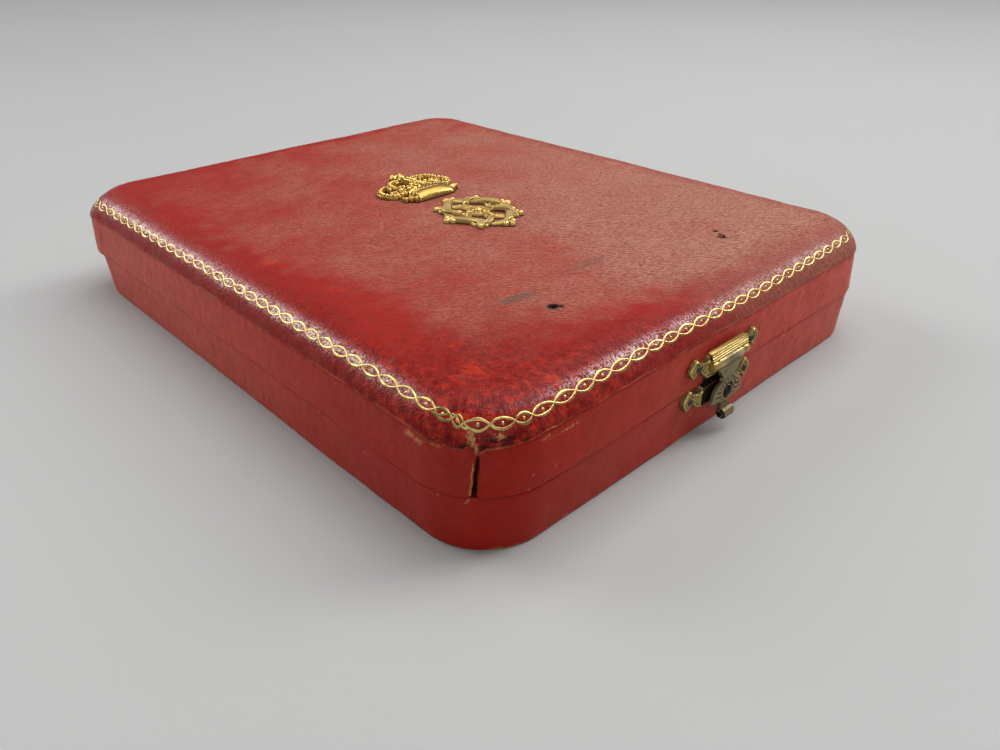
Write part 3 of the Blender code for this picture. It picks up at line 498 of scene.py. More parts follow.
def ring_points(rows, along):
    """Points and normals of rings: rows of (inset, height) carried round the outline."""
    rows = np.asarray(rows, float)
    centre, normal, length = outline(along)
    plan = centre[None] + (CORNER - rows[:, 0])[:, None, None] * normal[None]
    points = np.concatenate([plan, np.broadcast_to(rows[:, 1, None, None], plan.shape[:2] + (1,))], -1)
    slope = np.gradient(rows, axis=0)
    out, up = slope[:, 1], slope[:, 0]
    size = np.hypot(out, up) + 1e-12
    normals = np.concatenate([(out / size)[:, None, None] * normal[None],
                              np.broadcast_to((up / size)[:, None, None], plan.shape[:2] + (1,))], -1)
    return points, normals, np.broadcast_to(length, plan.shape[:2])


def edge_profile(offset, first_height, count):
    """Inset and height rows up the rounded edge: a quarter ellipse from a height to the flat top."""
    low = math.asin((first_height - EDGE_SPRING) / (EDGE_DROP - offset))
    angle = np.linspace(low, math.pi / 2, count)
    run = EDGE_RUN - RIM_FLARE - offset
    return np.stack([RIM_FLARE + offset + run * (1 - np.cos(angle)),
                     EDGE_SPRING + (EDGE_DROP - offset) * np.sin(angle)], -1)


def warp_lid(points):
    """Bulge of the back left corner of the lid: 1.6 mm outwards at its rim, less towards the top."""
    corner = np.array([-HALF_WIDTH + CORNER, HALF_DEPTH - CORNER])
    towards = points[..., :2] - corner
    size = np.linalg.norm(towards, axis=-1) + 1e-9
    facing = np.clip((towards @ np.array([-0.707, 0.707])) / size, 0, 1) ** 6
    share = facing * smooth(size, 4 * MM, 12 * MM) * (1 - smooth(points[..., 2], CAP_EDGE, LID_TOP))
    bulge = 1.5 * MM * share[..., None] * towards / size[..., None]
    moved = points.copy()
    moved[..., :2] += bulge
    moved[..., 2] -= 0.35 * MM * share
    return moved


def uneven(points, normals, amount):
    """Move leather in and out along its normals by three sizes of ripples."""
    depth = sizes().undulation
    push = (1.1 * ripple(points, 44 * MM, 3) + 0.5 * ripple(points, 12 * MM, 4)
            + 0.22 * ripple(points, 3.2 * MM, 5) + 0.12 * ripple(points, 1.5 * MM, 6))
    return points + normals * (depth * push * amount)[..., None]


def spot_mask(across, up, spots, scale=MM):
    """Sum of soft, turned, elliptical spots: each is 1 in its middle and falls off as a bell."""
    total = np.zeros_like(across)
    for x, y, half_x, half_y, turn, strength in spots:
        c, s = math.cos(math.radians(turn)), math.sin(math.radians(turn))
        dx, dy = across - x * scale, up - y * scale
        a, b = (c * dx + s * dy) / (half_x * scale), (-s * dx + c * dy) / (half_y * scale)
        total = np.maximum(total, strength * np.exp(-(a * a + b * b)))
    return total


def side_spots(along, height, table):
    """Spots on the sides, from their table: a place along the outline is changed to a length."""
    length = outline(along)[2]
    rows = [(outline(np.array([place]))[2][0] / MM, up, half, tall, 0, strength)
            for place, up, half, tall, strength in table]
    return spot_mask(length, height, rows)


def split_place(height):
    """Where the split lies along the outline at a height."""
    return np.interp(height / MM, [9.6, 11.3, 15.2, 18.8, 21.0], [2.9855, 2.9918, 2.9942, 2.9972, 2.990])


def split_distance(along, height):
    """Distance from the split along the outline, positive towards the front."""
    return (along - split_place(height)) * DEEP_SIDE


def build_shell(rows, name, body, materials, slot, stands_for, outside, lining_rows, change=None):
    """A closed body of rings with a flat cap at each end.

    outside gives the rows that show leather, lining_rows those that are lined, change a last move of the points.
    """
    along = crowd(column_places())
    points, normals, length = ring_points(rows, along)
    amount = np.zeros(len(rows))
    amount[outside] = 1.0
    points = uneven(points, normals, np.broadcast_to(amount[:, None], points.shape[:2]))
    heights = points[..., 2].copy()
    places = np.broadcast_to(along, heights.shape)
    if change:
        points = change(points, normals, places, amount[:, None])
    count = len(along)
    quads = grid_quads(len(rows), count, wrap=True)
    caps = [np.arange(count)[::-1], (len(rows) - 1) * count + np.arange(count)]
    on_rim = (np.abs(rows[:, 1] - PARTING) < 0.3 * MM) & (rows[:, 0] > 0.3 * MM)
    bare = np.maximum(side_spots(places, heights, BARE_SPOTS), crack_bare(places, heights))
    # The dark mark: painted shade inside the split, the dark open joint, and the painted shadow of the lever behind
    # the clasp.
    dark = np.maximum(crack_dark(places, heights), clasp_shadow(points))
    # deep: the bell round the split corner, which paints the sides darker there and paler away from it as painted
    # sheen.
    marks = {"bare": bare * amount[:, None], "dark": dark * ~on_rim[:, None],
             "deep": np.broadcast_to(handled(along), heights.shape)}
    row_of = np.repeat(np.arange(len(rows) - 1), count)
    lined = np.isin(row_of, lining_rows).astype(int)
    cap_lined = [int(0 in lining_rows), int(len(rows) - 2 in lining_rows)]
    return new_piece(name, points, quads, materials, body, slot, stands_for, caps=caps,
                     uv=np.stack([length, heights], -1), uv_wrap=outline_length(), marks=marks,
                     material_of=np.concatenate([lined, cap_lined]))


def handled(along):
    """Darker leather where the case was held, by the split corner: falls off as a bell along the outline."""
    length, split = outline(along)[2], outline(np.array([SPLIT_ALONG]))[2]
    return bell(length - split, 0, 62 * MM)


def crack_bare(along, height):
    """Raw, pale edge of the leather along the left lip of the split, from the cap down on to the tray."""
    away = split_distance(along, height)
    rough = ripple(np.stack([height, along * 0.15], -1), 1.6 * MM, 21, 8)
    line = bell(away, -0.45 * MM + 0.1 * MM * rough, 0.17 * MM)
    return line * smooth(height, 9.4 * MM, 10.2 * MM) * (1 - smooth(height, 16.8 * MM, 18.6 * MM))


def clasp_shadow(points):
    """Blackened leather behind the lever: a soft box in front of the clasp, 1 inside it and 0 outside."""
    across, up = np.abs(points[..., 0] - CLASP_X), np.abs(points[..., 2] - PARTING - 0.9 * MM)
    soft = (1 - smooth(across, 5.2 * MM, 6.0 * MM)) * (1 - smooth(up, 2.4 * MM, 3.2 * MM))
    return soft * (points[..., 1] < -HALF_DEPTH + 2 * MM)


def crack_dark(along, height):
    """Dark inside of the split and of the open joint beside it."""
    away = split_distance(along, height)
    wide = np.interp(height / MM, SPLIT_HEIGHTS, [0.55, 0.42, 0.30, 0.14]) * MM
    tall = smooth(height, 11.1 * MM, SPLIT_LOW) * (1 - smooth(height, 18.4 * MM, SPLIT_HIGH))
    beside = smooth(away, -0.3 * MM, 0.2 * MM) * (1 - smooth(away, 7.5 * MM, 10.5 * MM))
    return np.maximum(bell(away, 0.12 * MM, wide) * tall, bell(height, PARTING, 0.34 * MM) * beside)


def band_change(points, normals, along, amount):
    """Press the split into the lid's side band, lift its left lip and curl the band's lower edge beside it."""
    height = points[..., 2]
    away = split_distance(along, height)
    inside = smooth(height, 11.0 * MM, SPLIT_LOW) * (1 - smooth(height, 18.2 * MM, SPLIT_HIGH))
    wide = np.interp(height / MM, SPLIT_HEIGHTS, [0.52, 0.40, 0.30, 0.16]) * MM
    groove = -1.1 * MM * bell(away, 0.1 * MM, wide) * inside
    lip = 0.16 * MM * bell(away, -0.5 * MM, 0.3 * MM) * inside
    beside = smooth(away, 0, 0.5 * MM) * (1 - smooth(away, 6 * MM, 10 * MM))
    curl = 0.30 * MM * bell(height, 11.6 * MM, 0.8 * MM) * beside
    moved = points + normals * ((groove + lip + curl) * amount)[..., None]
    lift = 0.34 * MM * bell(height, SPLIT_LOW, 0.6 * MM) * smooth(away, -0.2 * MM, 0.4 * MM)
    moved[..., 2] += lift * (1 - smooth(away, 6 * MM, 10.5 * MM)) * amount
    return warp_lid(cut_mortises(moved, FRAME_LOW.z, 1))


def tray_change(points, normals, along, amount):
    """Let the hinge leaves into the tray's rim and keep its leather above the table."""
    moved = cut_mortises(points, TRAY_HIGH.z, -1)
    moved[..., 2] = np.maximum(moved[..., 2], 0.0)
    return moved


def cut_mortises(points, rim, side):
    """Move the rim back by a leaf's thickness where the hinges are: side -1 for the tray, 1 for the lid."""
    moved = points.copy()
    leaf_low, leaf_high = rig.box("hinge_base_right")
    near = (np.abs(np.abs(points[..., 0]) - (leaf_low.x + leaf_high.x) / 2) < (leaf_high.x - leaf_low.x) / 2 + GAP)
    near &= points[..., 1] > leaf_low.y - 2 * GAP
    deep = rim + side * (0.7 * MM + GAP)
    above = (points[..., 2] - deep) * side < 0
    moved[..., 2] = np.where(near & above, deep, points[..., 2])
    return moved


def tray_rows():
    """Profile of the tray from the middle of its underside, up the outside and down to its floor."""
    foot, top = TRAY_FOOT_INSET, TRAY_TOP_INSET
    rim = TRAY_HIGH.z + 0.06 * MM
    inner = WALL + top
    share = np.linspace(0, 1, SIDE_ROWS)
    outer = np.stack([foot + (top - foot) * share, 0.55 * MM + (rim - 0.95 * MM) * share], -1)
    under = [(4 * MM, 0.0), (foot + 0.75 * MM, 0.0), (foot + 0.36 * MM, 0.03 * MM), (foot + 0.1 * MM, 0.2 * MM)]
    return np.vstack([under, outer, [(top + 0.06 * MM, rim - 0.16 * MM), (top + 0.28 * MM, rim),
                                     (inner - 0.3 * MM, rim), (inner, rim - 0.3 * MM),
                                     (inner, TRAY_FLOOR + 1 * MM), (inner, TRAY_FLOOR)]])


def lid_rows():
    """Profile of the lid's frame from its ceiling, round its rim, up the side band and under the top leather."""
    inner = WALL + RIM_FLARE
    rim = FRAME_LOW.z - 0.06 * MM
    share = np.linspace(0, 1, SIDE_ROWS)
    band_low, band_high = rim + 0.35 * MM, CAP_EDGE - 0.35 * MM
    outer = np.stack([BAND_TOP_INSET * share, band_low + (band_high - band_low) * share], -1)
    under = LEATHER + GAP
    hidden = edge_profile(under, CAP_EDGE + 0.4 * MM, 7)
    return np.vstack([[(inner + LID_BEVEL, LID_CEILING), (inner, LID_CEILING - LID_BEVEL),
                       (inner, rim + 0.3 * MM), (inner - 0.3 * MM, rim), (0.34 * MM, rim),
                       (0.08 * MM, rim + 0.12 * MM)], outer,
                      [(BAND_TOP_INSET + 0.15 * MM, CAP_EDGE - 0.1 * MM), (under + 0.5 * MM, CAP_EDGE)], hidden])


def lip_change(along):
    """How far the top leather's lower edge dips or is torn away: a hanging flap, a tear beside it, small waves."""
    away = split_distance(along, 20.4 * MM)
    line = np.stack([outline(along)[2], 0 * along], -1)
    sag = -0.75 * MM * bell(away, 0, 8 * MM)
    flap = -0.55 * MM * np.exp(-((away - 1.0 * MM) / (0.85 * MM)) ** 4)
    frays = 0.16 * MM * ripple(line, 1.1 * MM, 32, 8) * bell(away, 0, 5 * MM)
    return sag + flap + frays + 0.10 * MM * ripple(line, 9 * MM, 31, 10)


def lip_share_at(height):
    """How much of the lower edge's sag and tears a height takes: all at the edge, none 3.4 mm above it."""
    return 1 - smooth(height, CAP_EDGE, CAP_EDGE + 3.4 * MM)


def cap_surface(along, angle):
    """Points and normals of the top leather over the rounded edge: angle is that of the quarter ellipse."""
    centre, normal, length = outline(along)
    run = EDGE_RUN - RIM_FLARE
    inset = RIM_FLARE + run * (1 - np.cos(angle))
    plan = centre + (CORNER - inset)[..., None] * normal
    points = np.concatenate([plan, (EDGE_SPRING + EDGE_DROP * np.sin(angle))[..., None]], -1)
    out, up = EDGE_DROP * np.cos(angle), run * np.sin(angle)
    size = np.hypot(out, up)
    normals = np.concatenate([(out / size)[..., None] * normal, (up / size)[..., None]], -1)
    return points, normals, length


def finish_cap(points, normals, along, lip_share):
    """Unevenness, torn lower edge and the warped corner of the top leather."""
    moved = uneven(points, normals, np.ones(points.shape[:-1]))
    moved[..., 2] += lip_change(along) * lip_share
    away = split_distance(along, 20.4 * MM)
    lump = 0.45 * MM * bell(away, 0.9 * MM, 0.75 * MM) - 0.30 * MM * bell(away, -0.5 * MM, 0.5 * MM)
    rough = 0.16 * MM * ripple(points, 1.0 * MM, 33) * bell(away, 0.5 * MM, 4.5 * MM)
    moved += normals * ((lump + rough) * lip_share)[..., None]
    return warp_lid(moved)


def cap_edge_angles(count):
    """Angles of the quarter ellipse from the cap's lower edge to the flat top."""
    low = math.asin((CAP_EDGE + 0.1 * MM - EDGE_SPRING) / EDGE_DROP)
    return np.linspace(low, math.pi / 2, count)


def draw_holes(points):
    """Draw the grid in towards each hole and press the hole in: depth falls off steeply at its radius."""
    moved = points.copy()
    for x, y, radius, depth in HOLES:
        away = moved[:, :2] - np.array([x, y]) * MM
        size = np.linalg.norm(away, axis=1)
        share = 1 - 0.62 * np.exp(-(size / (2.6 * MM)) ** 2)
        moved[:, :2] = np.array([x, y]) * MM + away * share[:, None]
        size = size * share
        angle = np.arctan2(away[:, 1], away[:, 0])
        edge = radius * MM * (1 + 0.22 * np.sin(3 * angle + x) + 0.12 * np.sin(5 * angle + y))
        moved[:, 2] -= depth * MM * (1 - smooth(size, 0.55 * edge, 1.1 * edge))
        moved[:, 2] += 0.10 * MM * bell(size, 1.35 * edge, 0.3 * MM)
    return moved


def cap_grid():
    """Concentric grid over the flat top: each point is its border's place x reach, from 0 in the middle to 1.

    Gives the points, their places along the outline, their reach and the border's numbers round the outline.
    """
    u, v = np.meshgrid(np.linspace(-1, 1, WIDE_CELLS + 1), np.linspace(-1, 1, DEEP_CELLS + 1), indexing='ij')
    reach = np.maximum(np.abs(u), np.abs(v))
    safe = np.maximum(reach, 1e-9)
    tu, tv = u / safe, v / safe
    right, left = (np.abs(u) >= np.abs(v)) & (u >= 0), (np.abs(u) >= np.abs(v)) & (u < 0)
    back = ~right & ~left & (v > 0)
    step = np.select([right, back, left], [tv, -tu, -tv], tu)
    side = np.select([right, back, left], [0.0, 1.0, 2.0], 3.0)
    along = crowd(side + np.clip((step + 1) / 2, 0, 1 - 1e-9))
    centre, normal, _ = outline(along)
    flat = (centre + (CORNER - EDGE_RUN) * normal) * reach[..., None]
    top = np.concatenate([flat, np.full(flat.shape[:2] + (1,), LID_TOP)], -1).reshape(-1, 3)
    upright = np.broadcast_to([0.0, 0.0, 1.0], top.shape)
    top = draw_holes(uneven(top, upright, np.ones(len(top))))
    index = np.arange(len(top)).reshape(WIDE_CELLS + 1, DEEP_CELLS + 1)
    border = np.concatenate([index[-1, :-1], index[:0:-1, -1], index[0, :0:-1], index[:-1, 0]])
    return top, along, reach, border


def hole_mask(x, y, spread, strength):
    """Soft spots over the nail holes, each wider than its hole by a factor."""
    return spot_mask(x, y, [(a, b, spread * r, spread * r, 0, strength) for a, b, r, _ in HOLES])


def cap_marks(points, along, edge_share):
    """Masks for the top leather's finish: edge_share is 0 on the flat top and 1 at the cap's lower edge."""
    x, y, z = points.T
    broad, narrow = ripple(points, 26 * MM, 41), ripple(points, 7 * MM, 42)
    near_corner = np.hypot(x + 60 * MM, y + 76 * MM)
    # Far from the near corner the edges are painted paler, with less deep red and more fade: painted grazing sheen.
    far_edge = smooth(near_corner, 20 * MM, 80 * MM)
    border_away = np.minimum(HALF_WIDTH - np.abs(x), HALF_DEPTH - np.abs(y))
    near_front = (1 - smooth(HALF_DEPTH + y, 9 * MM, 26 * MM)) * (1 - smooth(x, -30 * MM, 15 * MM))
    near_left = (1 - smooth(HALF_WIDTH + x, 9 * MM, 24 * MM)) * (1 - 0.95 * smooth(y, -40 * MM, 20 * MM))
    # Fade: real fading and dust, and painted sheen, rising across the top towards +x and lower near the near corner.
    fade = 0.585 + 0.0034 / MM * x - 0.0030 / MM * y + 0.055 * broad + 0.03 * narrow
    fade -= 0.16 * bell(np.hypot(x + 35 * MM, y + 45 * MM), 0, 30 * MM) + 0.34 * np.maximum(near_front, near_left)
    fade -= 0.42 * (1 - smooth(border_away + 1.5 * MM * narrow, 4 * MM, 14 * MM)) * (1 - 0.5 * far_edge)
    deep = np.clip(1 - smooth(border_away, 4 * MM, 13 * MM + 3 * MM * broad), 0, 1) * (1 - 0.6 * far_edge)
    scuff = np.maximum(spot_mask(x, y, SCUFF_SPOTS), side_spots(along, z, EDGE_SCUFFS))
    polish = smooth(edge_share, 0.34, 0.56) * (1 - smooth(edge_share, 0.76, 0.94)) * (0.8 + 0.2 * narrow)
    polish *= (1 - 0.62 * smooth(x, -35 * MM, 15 * MM)) * (1 - 0.9 * bell(near_corner, 0, 17 * MM))
    above_lip = z - CAP_EDGE - np.where(edge_share > 0, lip_change(along), 0)
    low_edge = smooth(edge_share, 0.2, 0.6)
    return {
        "fade": np.clip(fade, 0, 1),
        "deep": np.maximum(deep, 0.8 * bell(np.hypot(x + 50 * MM, y + 66 * MM), 0, 16 * MM)),
        "scuff": scuff * (0.75 + 0.25 * narrow),
        "stain": np.maximum(spot_mask(x, y, STAIN_SPOTS), hole_mask(x, y, 1.9, 0.95)),
        "hole": hole_mask(x, y, 1.3, 1.0) * (edge_share == 0),
        "grime": side_spots(along, z, TORN_DARK_SPOTS) * low_edge,
        "bare": side_spots(along, z, BARE_SPOTS) * low_edge,
        "edge": smooth(edge_share, 0.0, 0.25),
        "worn": 0.35 + 0.65 * bell(near_corner, 0, 32 * MM),
        "polish": polish,
        "lip": 1 - smooth(above_lip, 0.05 * MM, 0.45 * MM),
    }


def build_cap():
    """The top leather: a grid over the flat top, rings down the rounded edge, a lip and an underside."""
    top, along, reach, border = cap_grid()
    places = crowd(column_places())
    angles = cap_edge_angles(EDGE_ROWS)[::-1][1:]
    grid_along = np.broadcast_to(places, (len(angles), len(places)))
    points, normals, length = cap_surface(grid_along, np.broadcast_to(angles[:, None], grid_along.shape))
    edge = finish_cap(points, normals, grid_along, lip_share_at(points[..., 2]))
    lip_rows = [(0.55 * MM, CAP_EDGE - 0.02 * MM), (1.25 * MM, CAP_EDGE + 0.02 * MM)]
    inside, _, _ = ring_points(np.vstack([lip_rows, edge_profile(LEATHER, CAP_EDGE + 0.35 * MM, 6)]), places)
    inside[:2, :, 2] += lip_change(places)
    rings = np.concatenate([edge, warp_lid(inside)])
    count = len(places)
    ring_index = np.vstack([border, len(top) + np.arange(rings.shape[0] * count).reshape(-1, count)])
    ring_quads = np.roll(grid_quads(len(ring_index), count, wrap=True, index=ring_index)[:, ::-1], 1, axis=1)
    quads = np.concatenate([grid_quads(WIDE_CELLS + 1, DEEP_CELLS + 1)[:, ::-1], ring_quads])
    all_points = np.concatenate([top, rings.reshape(-1, 3)])
    share = np.broadcast_to((angles[0] - angles)[:, None] / (angles[0] - angles[-1]), grid_along.shape)
    edge_share = np.concatenate([np.zeros(len(top)), share.ravel(), np.ones(inside.shape[0] * count)])
    under_along = np.broadcast_to(places, inside.shape[:2]).ravel()
    all_along = np.concatenate([along.ravel(), grid_along.ravel(), under_along])
    profile = np.concatenate([(reach.ravel() - 1) * 50 * MM, edge_share[len(top):] * 11 * MM])
    lengths = np.concatenate([outline(along)[2].ravel(), length.ravel(), outline(under_along)[2]])
    return new_piece("lid_top_leather", all_points, quads, [grained_leather()], "lid", "leather_top", ["lid_cap"],
                     caps=[ring_index[-1]], uv=np.stack([lengths, profile], -1), uv_wrap=outline_length(),
                     marks=cap_marks(all_points, all_along, edge_share))


# ---- shapes: the gold chain

CHAIN_STEPS = 12

# Crossings of the chain, tooled by hand and so a little uneven: place along the outline, number of the link
CROSSINGS = (
    (2.127, 0), (2.238, 4), (2.354, 8), (2.470, 12), (2.586, 16), (2.702, 20), (2.816, 24), (2.939, 28),
    (2.966, 29), (2.981, 30), (3.014, 31), (3.052, 32), (3.081, 33), (3.162, 35), (3.234, 37), (3.316, 39),
    (3.388, 41), (3.465, 43), (3.536, 45), (3.610, 47), (3.685, 49), (3.756, 51), (3.827, 53), (3.894, 55),
    (4.0, 57.7), (5.0, 90.8), (6.0, 117.0), (6.127, 121),
)

# How high the chain runs on the rounded edge: place along the outline, angle of the quarter ellipse
CHAIN_LINE = (
    (0.0, 0.74), (1.0, 0.72), (2.0, 0.69), (2.13, 0.69), (2.35, 0.73), (2.47, 0.77), (2.82, 0.77),
    (2.94, 0.79), (2.966, 0.71), (2.985, 0.66), (3.08, 0.656), (3.32, 0.69), (3.61, 0.64), (3.80, 0.69),
    (3.92, 0.75), (4.0, 0.74),
)


def chain_place(link):
    """Place along the outline of a link's number, between the crossings in their table."""
    places, numbers = np.array(CROSSINGS).T
    return np.interp(np.asarray(link) * numbers[-1] / sizes().links, numbers, places) % 4


def chain_points(along, across, lift):
    """Points of the leather across the chain's line: across moves up the ellipse, lift stands off the leather."""
    angle = np.interp(along, *np.array(CHAIN_LINE).T)
    radius = np.hypot((EDGE_RUN - RIM_FLARE) * np.sin(angle), EDGE_DROP * np.cos(angle))
    points, normals, _ = cap_surface(along, angle + across / radius)
    settled = finish_cap(points, normals, along, lip_share_at(points[..., 2]))
    return settled + normals * np.asarray(lift)[..., None]


def ribbon(along, across, half, lift):
    """A closed flat ribbon along the chain's line: five points across, raised a little in its middle."""
    offsets = np.array([-1.0, -0.55, 0.55, 1.0, 0.0])
    rises = np.array([-0.03, 1.0, 1.0, -0.03, -1.2])
    side = across[:, None] + offsets * half[:, None]
    return chain_points(np.broadcast_to(along[:, None], side.shape), side, rises * lift)


def build_chain():
    """Two gold strands that cross in waves, with a dot in each link: ribbons and low domes on the leather."""
    links, swing, half = sizes().links, sizes().chain_width, sizes().stroke
    position = np.arange(links * CHAIN_STEPS) / CHAIN_STEPS
    along, phase = chain_place(position), math.pi * position
    shells, quads, first = [], [], 0
    for sign in (-1, 1):
        wave = np.sin(phase)
        swing_here = swing * np.sign(wave) * np.abs(wave) ** 0.8 * sign
        width = half * (1 + 0.2 * ripple(np.stack([position * 4 * MM, 0 * position], -1), 3 * MM, 51 + sign, 9))
        points = ribbon(along, swing_here, width, 0.045 * MM)
        shells.append(points.reshape(-1, 3))
        quads.append(grid_quads(len(along), 5, wrap=True, close=True) + first)
        first += points.shape[0] * 5
    doubled = (along > 2.935) & (along < 2.988)
    ghost = np.roll(swing * np.sin(phase), 7)[doubled] * 0.8
    points = ribbon(along[doubled], ghost, np.full(doubled.sum(), 0.8 * half), 0.04 * MM)
    shells.append(points.reshape(-1, 3))
    quads.append(grid_quads(points.shape[0], 5, wrap=True) + first)
    chain_quads = np.concatenate(quads)
    new_piece("gold_strands", np.concatenate(shells), chain_quads, [gold_leaf()], "lid", "gilt_brass")
    ring, lift, sides = np.array([1.0, 0.72, 0.3]), np.array([-0.02, 0.05, 0.075]) * MM, 9
    turn, dot = full_turn(sides), 0.34 * MM
    dot_along = chain_place(np.arange(links) + 0.5)[:, None, None] + dot * ring[:, None] * np.cos(turn) / DEEP_SIDE
    across = np.broadcast_to(dot * ring[:, None] * np.sin(turn), dot_along.shape)
    points = chain_points(dot_along % 4, across, np.broadcast_to(lift[:, None], dot_along.shape))
    starts = np.arange(links)[:, None] * 3 * sides
    quads = (grid_quads(3, sides, wrap=True) + starts[:, :, None]).reshape(-1, 4)
    tops = (starts + 2 * sides + np.arange(sides)).tolist()
    feet = (starts + np.arange(sides)[::-1]).tolist()
    new_piece("gold_dots", points.reshape(-1, 3), quads, [gold_leaf()], "lid", "gilt_brass", caps=tops + feet)


# ---- materials

# Fixed tones of the leathers and the lining, linear
# The pale crease colour paints glints on the creases.
PALE_CREASE_GLINT, DARK_CREASE = (0.42, 0.055, 0.045), (0.10, 0.001, 0.001)
LINT, WORN_DARK, TORN_LIP = (0.62, 0.36, 0.30), (0.09, 0.001, 0.001), (0.45, 0.16, 0.09)
# The split colour paints the dark mark: painted shade inside the split, the dark open joint and the painted shadow
# behind the lever.
HOLE_INSIDE, TORN_DARK, SPLIT_JOINT_AND_SHADOW = (0.02, 0.008, 0.006), (0.05, 0.005, 0.003), (0.012, 0.006, 0.004)
# The far colour of the sides is painted sheen at their far ends.
SIDE_FAR_SHEEN, SIDE_FIBRE, SIDE_NEAR_DARK = (0.60, 0.125, 0.085), (0.20, 0.012, 0.008), (0.25, 0.003, 0.0008)
SIDE_MOTTLE, SIDE_ORANGE = (0.20, 0.008, 0.004), (0.45, 0.055, 0.025)
FOXING, LEAF_WORN, HINGE_DARK = (0.42, 0.30, 0.18), (0.33, 0.06, 0.03), (0.16, 0.11, 0.05)

# Old brass and steel: colour setting, dark, bright, roughness, darkening in recesses (grime, and painted shade),
# patina, dullness, levels where it is rubbed
METALS = {
    # Bright gilt casting of the crown
    "gilt_cast": ("gilt", (0.045, 0.018, 0.004), (0.74, 0.48, 0.14), 0.26, 1.0, 0.15, 0.3, (0.68, 1.0)),
    # Matte, darker gilding of the strapwork, bright on its bevels
    "bronze_cast": ("bronze", (0.06, 0.036, 0.012), (0.74, 0.50, 0.16), 0.38, 0.97, 0.35, 0.6, (0.68, 1.0)),
    # Worn stamped brass of the plates and the pin
    "plate_brass": ("brass", (0.012, 0.007, 0.003), (0.74, 0.55, 0.19), 0.30, 1.0, 0.4, 0.4, (0.60, 0.86)),
    # Olive-grey brass of the lever, rubbed bright at its edges
    "lever_brass": ("tarnish", (0.022, 0.015, 0.007), (0.60, 0.47, 0.21), 0.36, 1.0, 0.5, 0.4, (0.60, 0.90)),
    # Dull grey nails, and the dark, polished stud
    "nail_steel": ("steel", (0.04, 0.035, 0.03), (0.40, 0.38, 0.36), 0.36, 0.6, 0.4, 0.0, (0.68, 1.0)),
    "stud_steel": ("stud", (0.008, 0.005, 0.003), (0.35, 0.28, 0.20), 0.2, 0.6, 0.0, 0.0, (0.68, 1.0)),
}


class Nodes:
    """Short calls that add shader nodes to a tree; a value and another node's output are given alike."""

    def __init__(self, tree, place=None):
        self.tree = tree
        self.place = self.add("TexCoord", output="Object") if place is None else place

    def join(self, value, socket):
        """Link an output to a socket, or set the socket to a value."""
        if isinstance(value, bpy.types.NodeSocket):
            self.tree.links.new(value, socket)
        else:
            socket.default_value = (*value, 1.0) if socket.type == 'RGBA' and len(value) == 3 else value

    def add(self, kind, inputs=None, output=0, **settings):
        """Add a node: inputs maps a socket's name or number to what goes in. Gives one of its outputs."""
        made = self.tree.nodes.new("ShaderNode" + kind)
        for key, value in settings.items():
            setattr(made, key, value)
        for key, value in (inputs or {}).items():
            self.join(value, made.inputs[key])
        return made.outputs[output]

    def group(self, group, inputs):
        """Place a node group and give its outputs."""
        made = self.tree.nodes.new("ShaderNodeGroup")
        made.node_tree = group
        for key, value in inputs.items():
            self.join(value, made.inputs[key])
        return made.outputs

    def maths(self, operation, *values):
        """A Math node."""
        return self.add("Math", dict(enumerate(values)), operation=operation)

    def plus(self, first, second):
        """First + second."""
        return self.maths('ADD', first, second)

    def minus(self, first, second):
        """First - second."""
        return self.maths('SUBTRACT', first, second)

    def times(self, first, second):
        """First x second."""
        return self.maths('MULTIPLY', first, second)

    def vector(self, operation, first, second):
        """A Vector Math node."""
        return self.add("VectorMath", {0: first, 1: second}, operation=operation)

    def turned(self, vector, angle):
        """A vector turned round the Z axis."""
        return self.add("VectorRotate", {"Vector": vector, "Angle": angle}, rotation_type='Z_AXIS')

    def mixed(self, share, first, second):
        """A colour Mix node."""
        return self.add("Mix", {0: share, 6: first, 7: second}, 2, data_type='RGBA', clamp_factor=True)

    def ranged(self, value, low, high, to_low=0.0, to_high=1.0):
        """A smooth Map Range node."""
        return self.add("MapRange", {0: value, 1: low, 2: high, 3: to_low, 4: to_high},
                        interpolation_type='SMOOTHSTEP')

    def noise(self, scale, detail=3.0, roughness=0.55, distortion=0.0, at=None):
        """The factor of a Noise Texture, on object coordinates if not told where."""
        return self.add("TexNoise", {"Vector": self.place if at is None else at, "Scale": scale, "Detail": detail,
                                     "Roughness": roughness, "Distortion": distortion}, "Fac")

    def mark(self, name):
        """A mark stored on the piece's points."""
        return self.add("Attribute", output="Fac", attribute_name=name)

    def ragged(self, name, scale, roughness, level, softness):
        """A mark with a ragged edge."""
        return self.group(ragged_group(), {"Vector": self.place, "Mark": self.mark(name), "Scale": scale,
                                           "Roughness": roughness, "Level": level, "Softness": softness})[0]

    def finish(self, colour, roughness=None, height=None, depth=0.0, strength=1.0):
        """Join colour, roughness and a bump height to the material's shader, and give the material."""
        self.join(colour, self.shader.inputs["Base Color"])
        if roughness is not None:
            self.join(roughness, self.shader.inputs["Roughness"])
        if height is not None:
            bump = self.add("Bump", {"Height": height, "Distance": depth, "Strength": strength})
            self.join(bump, self.shader.inputs["Normal"])
        return self.material


def new_material(name, roughness, metallic=0.0, gloss=0.5, **inputs):
    """A material with a Principled BSDF, as the nodes of its tree. Other inputs are constants of the shader."""
    material = bpy.data.materials.new(name)
    material.use_nodes = True
    nodes = Nodes(material.node_tree)
    nodes.material, nodes.shader = material, material.node_tree.nodes["Principled BSDF"]
    constants = {"roughness": roughness, "metallic": metallic, "specular_ior_level": gloss, **inputs}
    for socket in nodes.shader.inputs:
        key = socket.name.lower().replace(" ", "_")
        if key in constants:
            nodes.join(constants[key], socket)
    return nodes


def once(maker):
    """Keep a material so that it is made only one time: its name is its maker's."""
    def wrapped():
        return bpy.data.materials.get(maker.__name__) or maker(maker.__name__)
    wrapped.__doc__ = maker.__doc__
    return wrapped


